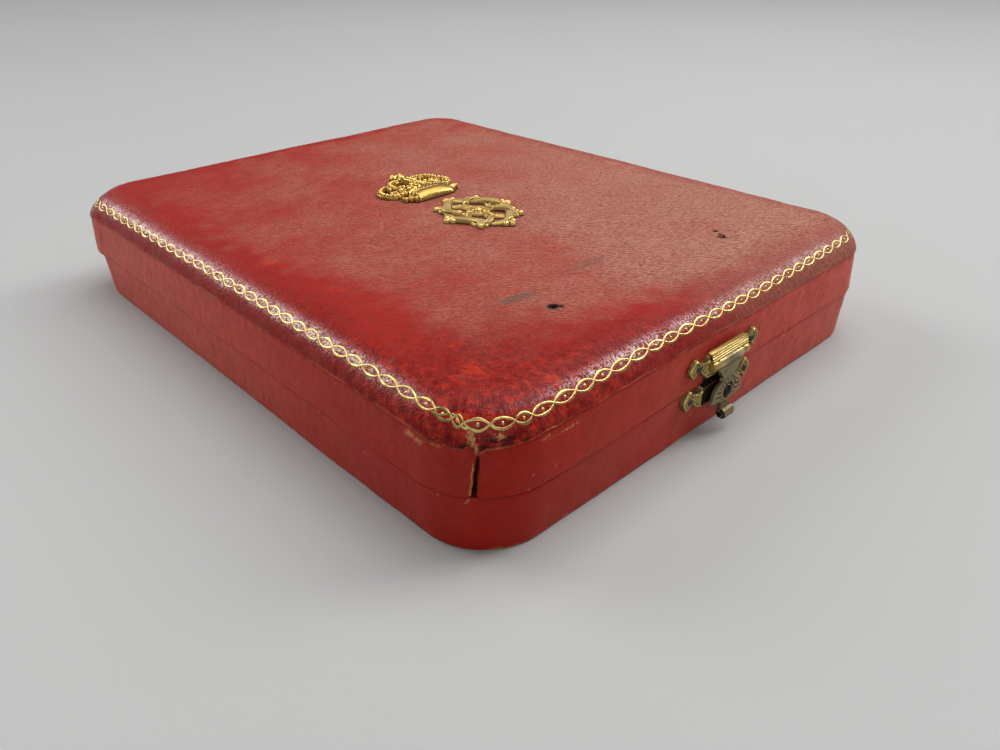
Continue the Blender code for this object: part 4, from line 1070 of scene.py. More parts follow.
def shader_group(name, inputs, outputs, fill):
    """Get a shader node group by name, or make it: fill(nodes, input sockets) gives its output values."""
    group = bpy.data.node_groups.get(name)
    if group:
        return group
    group = bpy.data.node_groups.new(name, 'ShaderNodeTree')
    for label, default in inputs.items():
        kind = 'NodeSocketVector' if default is None else 'NodeSocketFloat'
        socket = group.interface.new_socket(name=label, in_out='INPUT', socket_type=kind)
        if default is not None:
            socket.default_value = default
    for label in outputs:
        group.interface.new_socket(name=label, in_out='OUTPUT', socket_type='NodeSocketFloat')
    entry, leave = group.nodes.new("NodeGroupInput"), group.nodes.new("NodeGroupOutput")
    for socket, value in zip(leave.inputs, fill(Nodes(group, entry.outputs["Vector"]), entry.outputs)):
        group.links.new(value, socket)
    return group


def grain_group():
    """Straight grain: noise drawn out along one direction, its valleys narrow; with fine pores on top."""
    def fill(t, given):
        turned = t.turned(given["Vector"], given["Turn"])
        wobble = t.add("TexNoise", {"Vector": turned, "Scale": 210.0, "Detail": 1.0}, "Color")
        bent = t.vector('SUBTRACT', wobble, (0.5, 0.5, 0.5))
        turned = t.vector('ADD', turned, t.add("VectorMath", {0: bent, "Scale": 0.0011}, operation='SCALE'))
        across = t.maths('DIVIDE', 1.0, given["Pitch"])
        onward = t.maths('DIVIDE', across, given["Stretch"])
        drawn = t.vector('MULTIPLY', turned, t.add("CombineXYZ", {0: onward, 1: across, 2: across}))
        lines = t.ranged(t.noise(1.0, 2.0, 0.6, at=drawn), 0.40, 0.56)
        waves = t.add("TexWave", {"Vector": turned, "Scale": t.times(across, 0.13), "Distortion": 7.0, "Detail": 2.0,
                                  "Detail Scale": 1.6, "Detail Roughness": 0.6}, "Fac", bands_direction='Y')
        ridges = t.maths('MULTIPLY_ADD', waves, 0.45, t.times(lines, 0.55))
        height = t.maths('MULTIPLY_ADD', t.noise(3400.0, 2.0, 0.6, at=turned), 0.25, ridges)
        return height, t.minus(1.0, ridges)
    return shader_group("case_grain", {"Vector": None, "Pitch": 0.0009, "Stretch": 5.0, "Turn": 0.0},
                        ["Height", "Valley"], fill)


def pebble_group():
    """Pebbled leather: rounded cells, finer noise, and creases that run across the rim (along the skin's v)."""
    def fill(t, given):
        drawn = t.vector('MULTIPLY', given["Skin"], (3000.0, 420.0, 1.0))
        creases = t.ranged(t.noise(1.0, 3.0, 0.6, at=drawn), 0.38, 0.56)
        cells = t.add("TexVoronoi", {"Vector": given["Vector"], "Scale": given["Scale"], "Randomness": 1.0},
                      "Distance", feature='SMOOTH_F1')
        small = t.noise(t.times(given["Scale"], 2.7), 2.0, 0.65)
        height = t.maths('MULTIPLY_ADD', small, 0.35, t.times(t.ranged(cells, 0.15, 0.75, 1.0, 0.0), 0.7))
        return t.maths('MULTIPLY_ADD', creases, 0.3, height), creases
    return shader_group("case_pebble", {"Vector": None, "Skin": None, "Scale": 1300.0}, ["Height", "Creases"], fill)


def ragged_group():
    """A mark with a ragged edge: the mark plus fine noise, cut at a level."""
    def fill(t, given):
        rough = t.minus(t.noise(given["Scale"], 4.0, 0.7), 0.5)
        level = t.maths('MULTIPLY_ADD', rough, given["Roughness"], given["Mark"])
        low, high = t.minus(given["Level"], given["Softness"]), t.plus(given["Level"], given["Softness"])
        return [t.ranged(level, low, high)]
    return shader_group("case_ragged", {"Vector": None, "Mark": 0.0, "Scale": 900.0, "Roughness": 1.2, "Level": 0.5,
                                        "Softness": 0.12}, ["Mask"], fill)


@once
def grained_leather(name):
    """Straight-grained red leather, faded and dusty in the middle, pebbled and glossy on the rounded edge."""
    t, c = new_material(name, 0.45, gloss=0.085, coat_roughness=0.24, coat_ior=1.85), colours()
    grain = t.group(grain_group(), {"Vector": t.place, "Pitch": sizes().grain_pitch, "Stretch": 1.9,
                                    "Turn": math.radians(43.4)})
    skin = t.add("UVMap", uv_map="skin")
    pebble, creases = t.group(pebble_group(), {"Vector": t.place, "Skin": skin, "Scale": 2700.0})
    edge, fade, deep = t.mark("edge"), t.mark("fade"), t.mark("deep")
    broad, fine = t.noise(38.0, 5.0, 0.6), t.noise(420.0, 4.0, 0.65)
    fade_and_sheen_level = t.plus(fade, t.times(t.minus(broad, 0.5), 0.2))
    fade_and_sheen_level = t.plus(fade_and_sheen_level, t.times(t.minus(fine, 0.5), 0.30))
    # Dusty colour where the fade mark is high: fading, dust and painted sheen together.
    colour = t.mixed(t.ranged(fade_and_sheen_level, 0.12, 0.95), c.top, c.dusty)
    colour = t.mixed(t.times(deep, t.ranged(broad, 0.25, 0.6, 0.55, 1.0)), colour, c.deep)
    # Fine pale and dark creases that run in from the edge; the pale hairlines are painted glints on them
    hair = t.noise(1.0, 3.0, 0.6, 0.8, at=t.vector('MULTIPLY', skin, (2600.0, 260.0, 1.0)))
    colour = t.mixed(t.times(t.ranged(hair, 0.54, 0.66, 0.0, 0.42), deep), colour, PALE_CREASE_GLINT)
    colour = t.mixed(t.times(t.ranged(creases, 0.0, 1.0, 0.5, 0.0), deep), colour, DARK_CREASE)
    # Dark valleys of the grain, and lint, where the leather is faded
    valley = t.times(grain["Valley"], t.ranged(fade_and_sheen_level, 0.1, 0.8, 0.72, 0.85))
    colour = t.mixed(valley, colour, t.mixed(0.35, c.deep, c.stain))
    lint = t.times(t.ranged(t.noise(2300.0, 1.0), 0.62, 0.74), 0.25)
    colour = t.mixed(t.times(lint, t.ranged(fade_and_sheen_level, 0.1, 0.7)), colour, LINT)
    # Wear of the near corner, scuffs, stains, holes, dark spots, the torn lip and the bare hide
    mottle, worn = t.noise(650.0, 5.0, 0.75), t.times(deep, t.mark("worn"))
    colour = t.mixed(t.times(t.ranged(mottle, 0.50, 0.62, 0.0, 0.8), worn), colour, c.scuff)
    colour = t.mixed(t.times(t.ranged(mottle, 0.36, 0.49, 0.8, 0.0), worn), colour, WORN_DARK)
    colour = t.mixed(t.times(t.ragged("scuff", 900.0, 2.6, 0.72, 0.28), 0.72), colour, c.scuff)
    colour = t.mixed(t.times(t.ragged("stain", 700.0, 0.8, 0.45, 0.25), 0.62), colour, c.stain)
    colour = t.mixed(t.ranged(t.mark("hole"), 0.3, 0.6), colour, HOLE_INSIDE)
    colour = t.mixed(t.ragged("grime", 900.0, 1.3, 0.5, 0.2), colour, TORN_DARK)
    lip = t.times(t.mark("lip"), t.ranged(t.noise(160.0, 4.0), 0.42, 0.6, 0.1, 0.75))
    colour = t.mixed(lip, colour, TORN_LIP)
    bare = t.ragged("bare", 2200.0, 2.2, 0.55, 0.2)
    colour = t.mixed(bare, colour, c.hide)
    rough = t.plus(t.ranged(fade_and_sheen_level, 0.0, 0.9, 0.40, 0.62), t.times(fine, 0.08))
    rough = t.maths('MAXIMUM', t.minus(rough, t.times(edge, 0.16)), t.times(bare, 0.85))
    # The rubbed edge shines on the tops of its pebbles, which breaks its highlight into glints
    glints = t.ranged(t.maths('MULTIPLY_ADD', creases, 0.12, t.noise(2700.0, 2.0, 0.6)), 0.55, 0.63, 0.03, 1.0)
    t.join(t.times(t.mark("polish"), glints), t.shader.inputs["Coat Weight"])
    height = t.add("Mix", {0: edge, 2: grain["Height"], 3: pebble}, data_type='FLOAT')
    return t.finish(colour, rough, t.times(height, t.ranged(edge, 0.0, 1.0, 1.0, 0.42)), 0.00016, 1.0)


@once
def smooth_leather(name):
    """Smooth brick-red leather of the sides: dulled in patches, rubbed at its edges, dark inside the split."""
    t, c = new_material(name, 0.42, gloss=0.13, sheen_weight=0.05, sheen_tint=(1.0, 0.60, 0.50)), colours()
    cloudy, fine, mottled = t.noise(55.0, 5.0, 0.6), t.noise(1600.0, 3.0, 0.6), t.noise(480.0, 5.0, 0.7)
    slanted = t.turned(t.vector('MULTIPLY', t.add("UVMap", uv_map="skin"), (1.0, 0.35, 1.0)), 0.9)
    fibre = t.noise(1.0, 4.0, 0.65, at=t.vector('MULTIPLY', slanted, (900.0, 260.0, 1.0)))
    colour = t.mixed(t.ranged(cloudy, 0.35, 0.7), c.side, c.side_pale)
    # Paler away from the split corner as painted grazing sheen at the far ends, and darker near the split corner.
    colour = t.mixed(t.times(t.minus(1.0, t.mark("deep")), 0.55), colour, SIDE_FAR_SHEEN)
    colour = t.mixed(t.ranged(fibre, 0.35, 0.75, 0.0, 0.35), colour, SIDE_FIBRE)
    colour = t.mixed(t.times(t.mark("deep"), 0.75), colour, SIDE_NEAR_DARK)
    colour = t.mixed(t.ranged(mottled, 0.40, 0.62, 0.30, 0.0), colour, SIDE_MOTTLE)
    colour = t.mixed(t.times(t.ranged(t.noise(130.0, 5.0, 0.7), 0.6, 0.72), 0.35), colour, SIDE_ORANGE)
    specks = t.add("TexVoronoi", {"Vector": t.place, "Scale": 120.0}, "Distance")
    colour = t.mixed(t.times(t.ranged(specks, 0.035, 0.06, 1.0, 0.0), 0.4), colour, c.hide)
    bare = t.ragged("bare", 2200.0, 2.0, 0.55, 0.2)
    colour = t.mixed(bare, colour, c.hide)
    # Dark mark: painted shade inside the split, the dark open joint, and the painted shadow of the lever.
    colour = t.mixed(t.ranged(t.mark("dark"), 0.25, 0.7), colour, SPLIT_JOINT_AND_SHADOW)
    rough = t.maths('MAXIMUM', t.maths('MULTIPLY_ADD', cloudy, 0.18, 0.36), t.times(bare, 0.85))
    height = t.maths('MULTIPLY_ADD', fibre, 0.5, t.times(fine, 0.5))
    return t.finish(colour, rough, t.plus(height, mottled), 0.00016, 0.8)


@once
def lining_paper(name):
    """Cream lining paper with a faint laid texture and foxing."""
    t = new_material(name, 0.75)
    laid = t.add("TexWave", {"Vector": t.place, "Scale": 900.0, "Distortion": 1.5}, "Fac", bands_direction='X')
    foxed = t.ranged(t.noise(60.0, 6.0, 0.7), 0.56, 0.72)
    colour = t.mixed(t.times(foxed, 0.5), colours().lining, FOXING)
    return t.finish(colour, None, t.plus(laid, t.noise(1500.0)), 0.00005, 0.5)


@once
def gold_leaf(name):
    """Gold leaf pressed into leather: worn off in specks, where the red shows."""
    t = new_material(name, 0.3, 1.0)
    worn = t.ranged(t.noise(1500.0, 4.0, 0.7), 0.52, 0.62)
    worn = t.times(worn, t.ranged(t.noise(90.0, 3.0), 0.45, 0.7, 0.35, 1.0))
    t.join(t.minus(1.0, worn), t.shader.inputs["Metallic"])
    rough = t.ranged(t.noise(800.0), 0.3, 0.7, 0.24, 0.42)
    return t.finish(t.mixed(worn, colours().leaf, LEAF_WORN), rough, t.noise(2200.0, 2.0), 0.00006, 0.6)


@once
def hinge_brass(name):
    """Brass without the mark of height, for the model's own hinge solids."""
    t = new_material(name, 0.38, 1.0)
    mottled = t.noise(500.0, 5.0, 0.65)
    colour = t.mixed(t.ranged(mottled, 0.42, 0.7), colours().brass, HINGE_DARK)
    return t.finish(colour, t.ranged(mottled, 0.3, 0.7, 0.3, 0.5), t.noise(1800.0, 3.0), 0.00003, 0.5)


def old_metal(name):
    """Metal from its table: bright on edges and high points, dark in recesses, mottled and finely scratched.

    Metallic is 1 where it is rubbed and 1 - dullness elsewhere, as old brass has a thin skin that scatters light.
    """
    if name in bpy.data.materials:
        return bpy.data.materials[name]
    setting, dark, bright, roughness, grime, patina, dull, rub = METALS[name]
    colour = tuple(getattr(colours(), setting))
    t = new_material(name, roughness, 1.0, gloss=0.15)
    mottled, raised = t.noise(700.0, 5.0, 0.65), t.mark("raised")
    rubbed = t.ranged(t.maths('MULTIPLY_ADD', t.minus(mottled, 0.5), 0.5, raised), *rub)
    tone = t.mixed(t.ranged(t.noise(260.0, 3.0), 0.35, 0.7, 0.0, 0.5), colour,
                   tuple(0.6 * v + 0.4 * d for v, d in zip(colour, dark)))
    tone = t.mixed(t.ranged(mottled, 0.5, 0.75, 0.0, patina), tone, dark)
    tone = t.mixed(rubbed, tone, bright)
    # Dark in recesses: grime, and painted shade.
    sunk = t.ranged(raised, 0.18, 0.56, grime, 0.0)
    scratch = t.noise(1.0, 3.0, 0.7, at=t.vector('MULTIPLY', t.place, (350.0, 2600.0, 2600.0)))
    rough = t.plus(t.times(sunk, 0.3), t.ranged(scratch, 0.3, 0.7, roughness - 0.07, roughness + 0.1))
    shine = t.times(t.ranged(rubbed, 0.0, 1.0, 1 - dull, 1.0), t.ranged(sunk, 0.0, 1.0, 1.0, 0.2))
    t.join(shine, t.shader.inputs["Metallic"])
    return t.finish(t.mixed(sunk, tone, dark), rough, t.plus(scratch, mottled), 0.00002, 0.6)


# ---- shapes: reliefs

def relief_grid(low_x, high_x, low_y, high_y, finer=1.0):
    """A grid of points at the relief cell's pitch, or a share of it."""
    cell = sizes().relief_cell * finer
    return np.meshgrid(np.arange(low_x, high_x + cell, cell), np.arange(low_y, high_y + cell, cell), indexing='ij')


def path_distance(x, y, path, values=None, closed=False):
    """Distance of grid points to a line through points, and a value carried along it to the nearest place."""
    best, carried = np.full(x.shape, 1e3), np.zeros(x.shape)
    path = np.asarray(path, float)
    values = np.zeros(len(path)) if values is None else np.asarray(values, float)
    if closed:
        path, values = np.vstack([path, path[:1]]), np.append(values, values[0])
    for a, b, va, vb in zip(path[:-1], path[1:], values[:-1], values[1:]):
        run = b[:2] - a[:2]
        share = np.clip(((x - a[0]) * run[0] + (y - a[1]) * run[1]) / (run @ run + 1e-18), 0, 1)
        away = np.hypot(x - a[0] - share * run[0], y - a[1] - share * run[1])
        closer = away < best
        best = np.where(closer, away, best)
        carried = np.where(closer, va + share * (vb - va), carried)
    return best, carried


class Relief:
    """A height over a grid, raised form by form: the greater of the old height and each form's own."""

    def __init__(self, x, y):
        self.x, self.y, self.height = x, y, np.full(x.shape, -1.0)

    def lift(self, there, level):
        """Raise the height to a level where there is true."""
        self.height = np.where(there, np.maximum(self.height, level), self.height)

    def carve(self, beyond):
        """Cut a narrow groove round a form: lower by a bell curve of the distance beyond its edge."""
        groove = 0.5 * MM * bell(np.maximum(beyond, 0), 0, 0.15 * MM)
        low = np.maximum(self.height - groove, np.minimum(self.height, 0.2 * MM))
        self.height = np.where(self.height > 0, low, self.height)

    def ball(self, place, radius, flat=1.0):
        """A ball: level + flat x sqrt(r^2 - d^2)."""
        square = radius ** 2 - (self.x - place[0]) ** 2 - (self.y - place[1]) ** 2
        self.carve(np.sqrt(radius ** 2 - square) - radius)
        self.lift(square > 0, place[2] + flat * np.sqrt(np.maximum(square, 0)))

    def bar(self, path, radius, flat=1.0, groove=True):
        """A round bar along points (across, up, level), as a ball is."""
        path = np.asarray(path, float)
        away, level = path_distance(self.x, self.y, path, path[:, 2])
        if groove:
            self.carve(away - radius)
        self.lift(away < radius, level + flat * np.sqrt(np.maximum(radius ** 2 - away ** 2, 0)))

    def strap(self, path, half, groove=0.0):
        """A closed flat strap with bevelled edges and, if asked, a groove down its middle."""
        away, level = path_distance(self.x, self.y, path, path[:, 2], True)
        bevel = 0.16 * MM * (1 - smooth(half - away, 0, 0.16 * MM))
        hollow = groove * bell(away, 0, 0.22 * half) + 0.07 * MM * bell(half - away, 0.34 * MM, 0.09 * MM)
        self.lift(away < half, level - bevel - hollow)


def inside_distance(x, y, polygon):
    """Distance to a closed outline, positive inside it."""
    away, _ = path_distance(x, y, np.column_stack([polygon, np.zeros(len(polygon))]), closed=True)
    inside = np.zeros(x.shape, bool)
    for a, b in zip(polygon, np.roll(polygon, -1, axis=0)):
        crosses = (a[1] > y) != (b[1] > y)
        rise = b[1] - a[1] if abs(b[1] - a[1]) > 1e-12 else 1e-12
        inside ^= crosses & (x < a[0] + (y - a[1]) * (b[0] - a[0]) / rise)
    return np.where(inside, away, -away)


def rounded(polygon, times=2):
    """Cut the corners of a closed outline: each edge gives points at a quarter and three quarters."""
    points = np.asarray(polygon, float)
    for _ in range(times):
        after = np.roll(points, -1, axis=0)
        points = np.stack([0.75 * points + 0.25 * after, 0.25 * points + 0.75 * after], 1).reshape(-1, 2)
    return points


def blurred(height, times):
    """Average each grid point with its neighbours, several times."""
    for _ in range(times):
        padded = np.pad(height, 1, mode='edge')
        height = (padded[:-2, 1:-1] + padded[2:, 1:-1] + padded[1:-1, :-2] + padded[1:-1, 2:] + 2 * height) / 6
    return height


def placed(points, matrix):
    """Points turned and moved by a matrix."""
    return points @ np.array(matrix.to_3x3()).T + np.array(matrix.translation)


def relief_piece(name, x, y, face, under, there, matrix, metal, body, slot, stands_for, extra=None, shade=0.0,
                 sharp=50.0):
    """A closed sheet from a face and an underside over a grid, kept where there is true.

    Its outline is smoothed by moving each point of the border towards the middle of its two neighbours.
    The mark raised is 0.5 plus the height over the blurred height, per 0.3 mm.
    """
    rows, columns = x.shape
    quads = grid_quads(rows, columns)
    quads = quads[there.ravel()[quads].any(1)]
    used = np.unique(quads)
    number = np.full(x.size, -1)
    number[used] = np.arange(len(used))
    quads = number[quads]
    edges = np.sort(np.concatenate([quads[:, [a, (a + 1) % 4]] for a in range(4)]), axis=1)
    single, count = np.unique(edges, axis=0, return_counts=True)
    rim_edges = single[count == 1]
    rim = np.zeros(len(used), bool)
    rim[rim_edges.ravel()] = True
    plan = np.stack([x.ravel()[used], y.ravel()[used]], -1)
    for _ in range(3):
        total, times = np.zeros_like(plan), np.zeros(len(used))
        for one, other in (rim_edges.T, rim_edges.T[::-1]):
            np.add.at(total, one, plan[other])
            np.add.at(times, one, 1)
        plan[rim] = 0.5 * plan[rim] + 0.5 * (total[rim] / times[rim, None])
    top_z = np.where(there, face, under).ravel()[used]
    low_z = np.asarray(np.broadcast_to(under, x.shape)).ravel()[used]
    raised = (0.5 - shade + (face - blurred(face, 14)) / (0.3 * MM)).ravel()[used]
    top = np.column_stack([plan, np.where(rim, low_z, top_z)])
    inner = ~rim
    bottom_number = np.where(rim, np.arange(len(used)), 0)
    bottom_number[inner] = len(used) + np.arange(inner.sum())
    bottom = np.column_stack([plan, low_z])[inner]
    points, marks = np.concatenate([top, bottom]), np.concatenate([raised, np.full(len(bottom), 0.3)])
    faces = np.concatenate([quads, bottom_number[quads][:, ::-1]])
    if extra is not None:
        more_points, more_quads, more_marks = extra
        faces = np.concatenate([faces, more_quads + len(points)])
        points = np.concatenate([points, more_points])
        marks = np.concatenate([marks, more_marks(*more_points.T)])
    return new_piece(name, placed(points, matrix), faces, [old_metal(metal)], body, slot, stands_for,
                     marks={"raised": np.clip(marks, 0, 1)}, sharp=sharp)


def crown_depth(radius):
    """How far a ring of the pressed crown stands out: 2 mm x (radius / reach of the crown) ^ 0.4."""
    return 2.0 * MM * (np.maximum(radius, 1e-9) / CROWN_REACH) ** 0.4


def crown_place(angle, radius, up):
    """A point of the pressed crown: across, up and level above the leather."""
    turn = np.radians(angle)
    return np.array([radius * np.sin(turn), up, crown_depth(radius) * np.cos(turn) + CROWN_LEVEL])


def crown_arch(angle, count):
    """One arch: it bows out from the rim and closes at the orb, on an ellipse from -38 to 90 degrees."""
    sweep = np.radians(np.linspace(-38.0, 90, count))
    radius = 0.8 * MM + (CROWN_REACH - 0.8 * MM) * np.cos(sweep)
    up = 9.0 * MM + 5.2 * MM * np.sin(sweep)
    turn = math.radians(angle)
    return np.stack([radius * math.sin(turn), up, crown_depth(radius) * math.cos(turn) + CROWN_LEVEL], -1)


def crown_relief(x, y):
    """Height of the crown over the leather, from its band, beads, leaves, arches, orb and finial."""
    relief = Relief(x, y)
    # A low lining shows between the arches
    bonnet = (y > 4.4 * MM) & (y < 12.6 * MM) & (np.abs(x) < 4.2 * MM * np.cos((y - 7 * MM) / (8.5 * MM)))
    ribs = 0.10 * MM * np.cos(x / (0.30 * MM)) * np.cos(y / (0.9 * MM))
    relief.lift(bonnet, 0.55 * MM * np.sqrt(np.maximum(1 - (x / (6 * MM)) ** 2, 0)) + ribs + 0.1 * MM)
    # Arches: a low strap with raised edges, and a row of pearls that grow smaller towards the orb
    for angle in (-76, 76, -40, 40, 0):
        arch = crown_arch(angle, 26)
        relief.bar(arch, 0.80 * MM, 0.25)
        across = np.gradient(arch[:, :2], axis=0)
        across /= np.linalg.norm(across, axis=1, keepdims=True) + 1e-12
        for side in (-1, 1):
            beside = side * 0.68 * MM * np.stack([-across[:, 1], across[:, 0]], -1)
            relief.bar(arch + np.column_stack([beside, np.full(26, 0.10 * MM)]), 0.17 * MM)
        for number, pearl in enumerate(crown_arch(angle, 12)[1:-1]):
            relief.ball(pearl + (0, 0, 0.22 * MM), (0.58 - 0.018 * number) * MM)
    # Leaves: fans of ribs on the rim, with pearls on stems between them
    for angle in (-76, 76, -40, 40, 0):
        foot = crown_place(angle, 6.5 * MM, 5.2 * MM)
        lean = math.radians(-0.45 * angle)
        for rib in (-3, 3, -2, 2, -1, 1, 0):
            turn = lean + rib * 0.33
            tip = foot + np.array([-math.sin(turn), math.cos(turn), 0]) * (3.1 - 0.2 * rib * rib) * MM
            tip[2] += (0.45 - 0.07 * abs(rib)) * MM
            relief.bar([foot + (0, 0, 0.1 * MM), (foot + tip) / 2 + (0, 0, 0.25 * MM), tip], 0.34 * MM)
            relief.ball(tip, 0.40 * MM)
        relief.ball(foot + (0, 0.5 * MM, 0.35 * MM), 0.60 * MM)
    for angle in (-58, -20, 20, 58):
        stem = crown_place(angle, 6.4 * MM, 5.3 * MM)
        relief.bar([stem, stem + (0, 1.6 * MM, 0.1 * MM)], 0.3 * MM)
        for dx, dy, size in ((-0.68, 1.35, 0.40), (0.68, 1.35, 0.40), (0, 2.2, 0.62)):
            relief.ball(stem + np.array([dx, dy, 0.25]) * MM, size * MM)
    # Band: a smooth face that bulges as a quarter ellipse, then a sunk row of beads between two raised lines
    drum = DRUM + 0.16 * y
    around = np.sqrt(np.maximum(1 - (x / drum) ** 2, 0))
    face_top = 2.5 * MM
    top = face_top + 0.7 * MM + 1.9 * MM * around
    inside = (y > 0) & (y < top) & (np.abs(x) < drum)
    face = 2.15 * MM * np.sqrt(np.maximum(1 - ((y - face_top) / face_top) ** 2, 0)) * around ** 0.35
    sunk = 1.55 * MM * around ** 0.5
    lines = bell(y, face_top + 0.05 * MM, 0.16 * MM) + bell(y, top - 0.2 * MM, 0.18 * MM)
    lines *= 0.72 * MM * around ** 0.1 * (y > face_top - 0.3 * MM) * np.where(y < face_top, 0.2, 1)
    band = np.where(y < face_top, face, sunk) + lines + 0.12 * MM
    relief.height = np.where(inside, np.maximum(band, relief.height * (y > top - 0.1 * MM)), relief.height)
    for angle in np.linspace(-62, 62, 13):
        across, ahead = math.sin(math.radians(angle)), math.cos(math.radians(angle))
        level = 1.55 * MM * ahead ** 0.5 + CROWN_LEVEL
        relief.ball((DRUM * across, face_top + 0.35 * MM + 0.95 * MM * ahead, level), 0.34 * MM)
    # Folds that close the band at both ends: upright drops, tall and close together
    for side in (-1, 1):
        for step in (2, 1, 0):
            place = np.array([side * (5.75 + 1.05 * step), 0.75 + 0.75 * step, 1.15 - 0.1 * step]) * MM
            relief.ball(place, 0.5 * MM, 1.2)
            relief.bar([place, place + np.array([-side * 0.1, 1.3, -0.35]) * MM], 0.42 * MM)
    # Orb with a hoop, and the finial
    orb = crown_place(0, 1.6 * MM, 15.2 * MM)
    relief.ball(orb + (0, -1.85 * MM, -0.2 * MM), 0.8 * MM)
    for dx, dy, size in ((-0.95, 2.5, 0.5), (0.95, 2.5, 0.5), (0, 3.4, 0.56), (0, 2.45, 0.55), (0, 1.75, 0.5)):
        relief.ball(orb + np.array([dx, dy, -0.1]) * MM, size * MM)
    relief.ball(orb, 1.65 * MM)
    hoop = np.linspace(-1.2, 1.2, 15)
    hoop = np.stack([1.5 * MM * np.sin(hoop), np.full(15, -0.2 * MM), 1.5 * MM * np.cos(hoop)], -1)
    relief.bar(orb + hoop, 0.26 * MM, groove=False)
    return relief.height


def build_crown():
    """The closed crown as a relief on a grid."""
    x, y = relief_grid(-11.6 * MM, 11.6 * MM, -0.5 * MM, 20.2 * MM)
    height = crown_relief(x, y)
    there = height > RELIEF_LEAST
    face = np.where(there, height + 0.006 * MM * ripple(np.stack([x, y], -1), 0.6 * MM, 62, 10), 0)
    matrix = Matrix.Translation((ORNAMENT_X + 0.4 * MM, CROWN_Y - 0.3 * MM, LID_TOP - RELIEF_SINK))
    relief_piece("crown", x, y, face + RELIEF_SINK, np.zeros(x.shape), there, matrix, "gilt_cast", "lid",
                 "gilt_brass", ["crown_ornament"], sharp=75.0)


def direction(angle):
    """A step of length 1 at an angle."""
    return np.array([math.cos(angle), math.sin(angle)])


def knot_path(reach, count, weave):
    """A closed strap at a reach (a function of the angle) that passes over and under the other in turn."""
    angle = full_turn(count)
    share = reach(angle)
    level = 0.95 * MM + weave * 0.32 * MM * np.sin(4 * angle)
    return np.stack([KNOT_WIDE * share * np.cos(angle), KNOT_TALL * share * np.sin(angle), level], -1)


def knot_relief(x, y):
    """Height of the strapwork: two woven flat straps, a ring, ribbed leaves, a boss, bars and ball tips."""
    def lozenge(angle):
        return (np.abs(np.cos(angle)) ** 1.3 + np.abs(np.sin(angle)) ** 1.3) ** (-1 / 1.3)

    def foil(angle):
        return 0.74 - 0.26 * np.cos(4 * angle)
    relief = Relief(x, y)
    relief.strap(knot_path(lozenge, 72, 1.0), 0.92 * MM)
    relief.strap(knot_path(foil, 96, -1.0), 0.72 * MM, 0.16 * MM)
    turn = full_turn(28)
    ring = np.stack([2.3 * MM * np.cos(turn), 2.3 * MM * np.sin(turn), np.full(28, 0.8 * MM)], -1)
    relief.strap(ring, 0.5 * MM)
    relief.ball((0, 0, 0.35 * MM), 1.1 * MM, 0.85)
    for petal in range(8):
        angle = petal * math.pi / 4 + 0.39
        relief.ball((1.35 * MM * math.cos(angle), 1.35 * MM * math.sin(angle), 0.45 * MM), 0.34 * MM)
    for quarter in range(4):
        angle = quarter * math.pi / 2
        out, side = direction(angle), direction(angle + math.pi / 2)
        half = KNOT_TALL if quarter % 2 else KNOT_WIDE
        start, end = 2.3 * MM, half * 0.48
        spine = [(*(out * r), 0.75 * MM) for r in (start, (start + end) / 2, end)]
        relief.bar(spine, 0.36 * MM)
        for rib in range(4):
            foot = out * (start + (end - start) * (0.2 + 0.22 * rib))
            for sign in (-1, 1):
                tip = foot + out * 0.8 * MM + side * sign * (1.15 - 0.12 * rib) * MM
                relief.bar([(*foot, 0.7 * MM), (*tip, 0.4 * MM)], 0.27 * MM)
        tip = out * half
        for ahead, beside in ((2.4, 0.0), (1.0, 1.5), (1.0, -1.5)):
            place = tip + out * ahead * 0.72 * MM + side * beside * 0.72 * MM
            relief.ball((*place, 0.35 * MM), 0.72 * MM)
        relief.bar([(*tip, 0.6 * MM), (*(tip + out * 1.7 * MM), 0.5 * MM)], 0.42 * MM)
        lobes = ((0.0, 1.12, 0.35, 0.72), (-0.15, 1.03, 0.3, 0.42), (0.15, 1.03, 0.3, 0.42))
        for turn, reach, level, radius in lobes:
            lobe = direction(angle + math.pi / 4 + turn) * np.array([KNOT_WIDE, KNOT_TALL]) * reach
            relief.ball((*lobe, level * MM), radius * MM)
    return relief.height


def build_knot():
    """The pierced strapwork as a relief on a grid."""
    x, y = relief_grid(-10.4 * MM, 10.4 * MM, -12.3 * MM, 12.3 * MM)
    height = knot_relief(x, y)
    there = height > RELIEF_LEAST
    face = np.where(there, height + 0.015 * MM * ripple(np.stack([x, y], -1), 0.7 * MM, 63, 10), 0)
    matrix = Matrix.Translation((ORNAMENT_X, KNOT_Y, LID_TOP - RELIEF_SINK))
    relief_piece("strapwork", x, y, face + RELIEF_SINK, np.zeros(x.shape), there, matrix, "bronze_cast", "lid",
                 "gilt_bronze", ["scroll_ornament"])


# ---- shapes: the clasp

def clasp_matrix(shift=0.0):
    """From clasp space (across, up from the parting line, out from the lid's face) to the model's frame."""
    return Matrix.Translation((CLASP_X + shift, -HALF_DEPTH, PARTING)) @ Matrix.Rotation(math.pi / 2, 4, 'X')


def plate_outline(body, reach, wing_up, wing_half, top, foot):
    """A plate with a fishtail wing on each side, from the table of one wing's outline."""
    wing = np.array(WING_OUTLINE)
    right = np.column_stack([body + wing[:, 0] * (reach - body), wing_up + wing[:, 1] * wing_half])
    half = np.vstack([[(body, top)], right, [(body * 0.95, foot)]])
    return np.vstack([half, half[::-1] * np.array([-1, 1])])


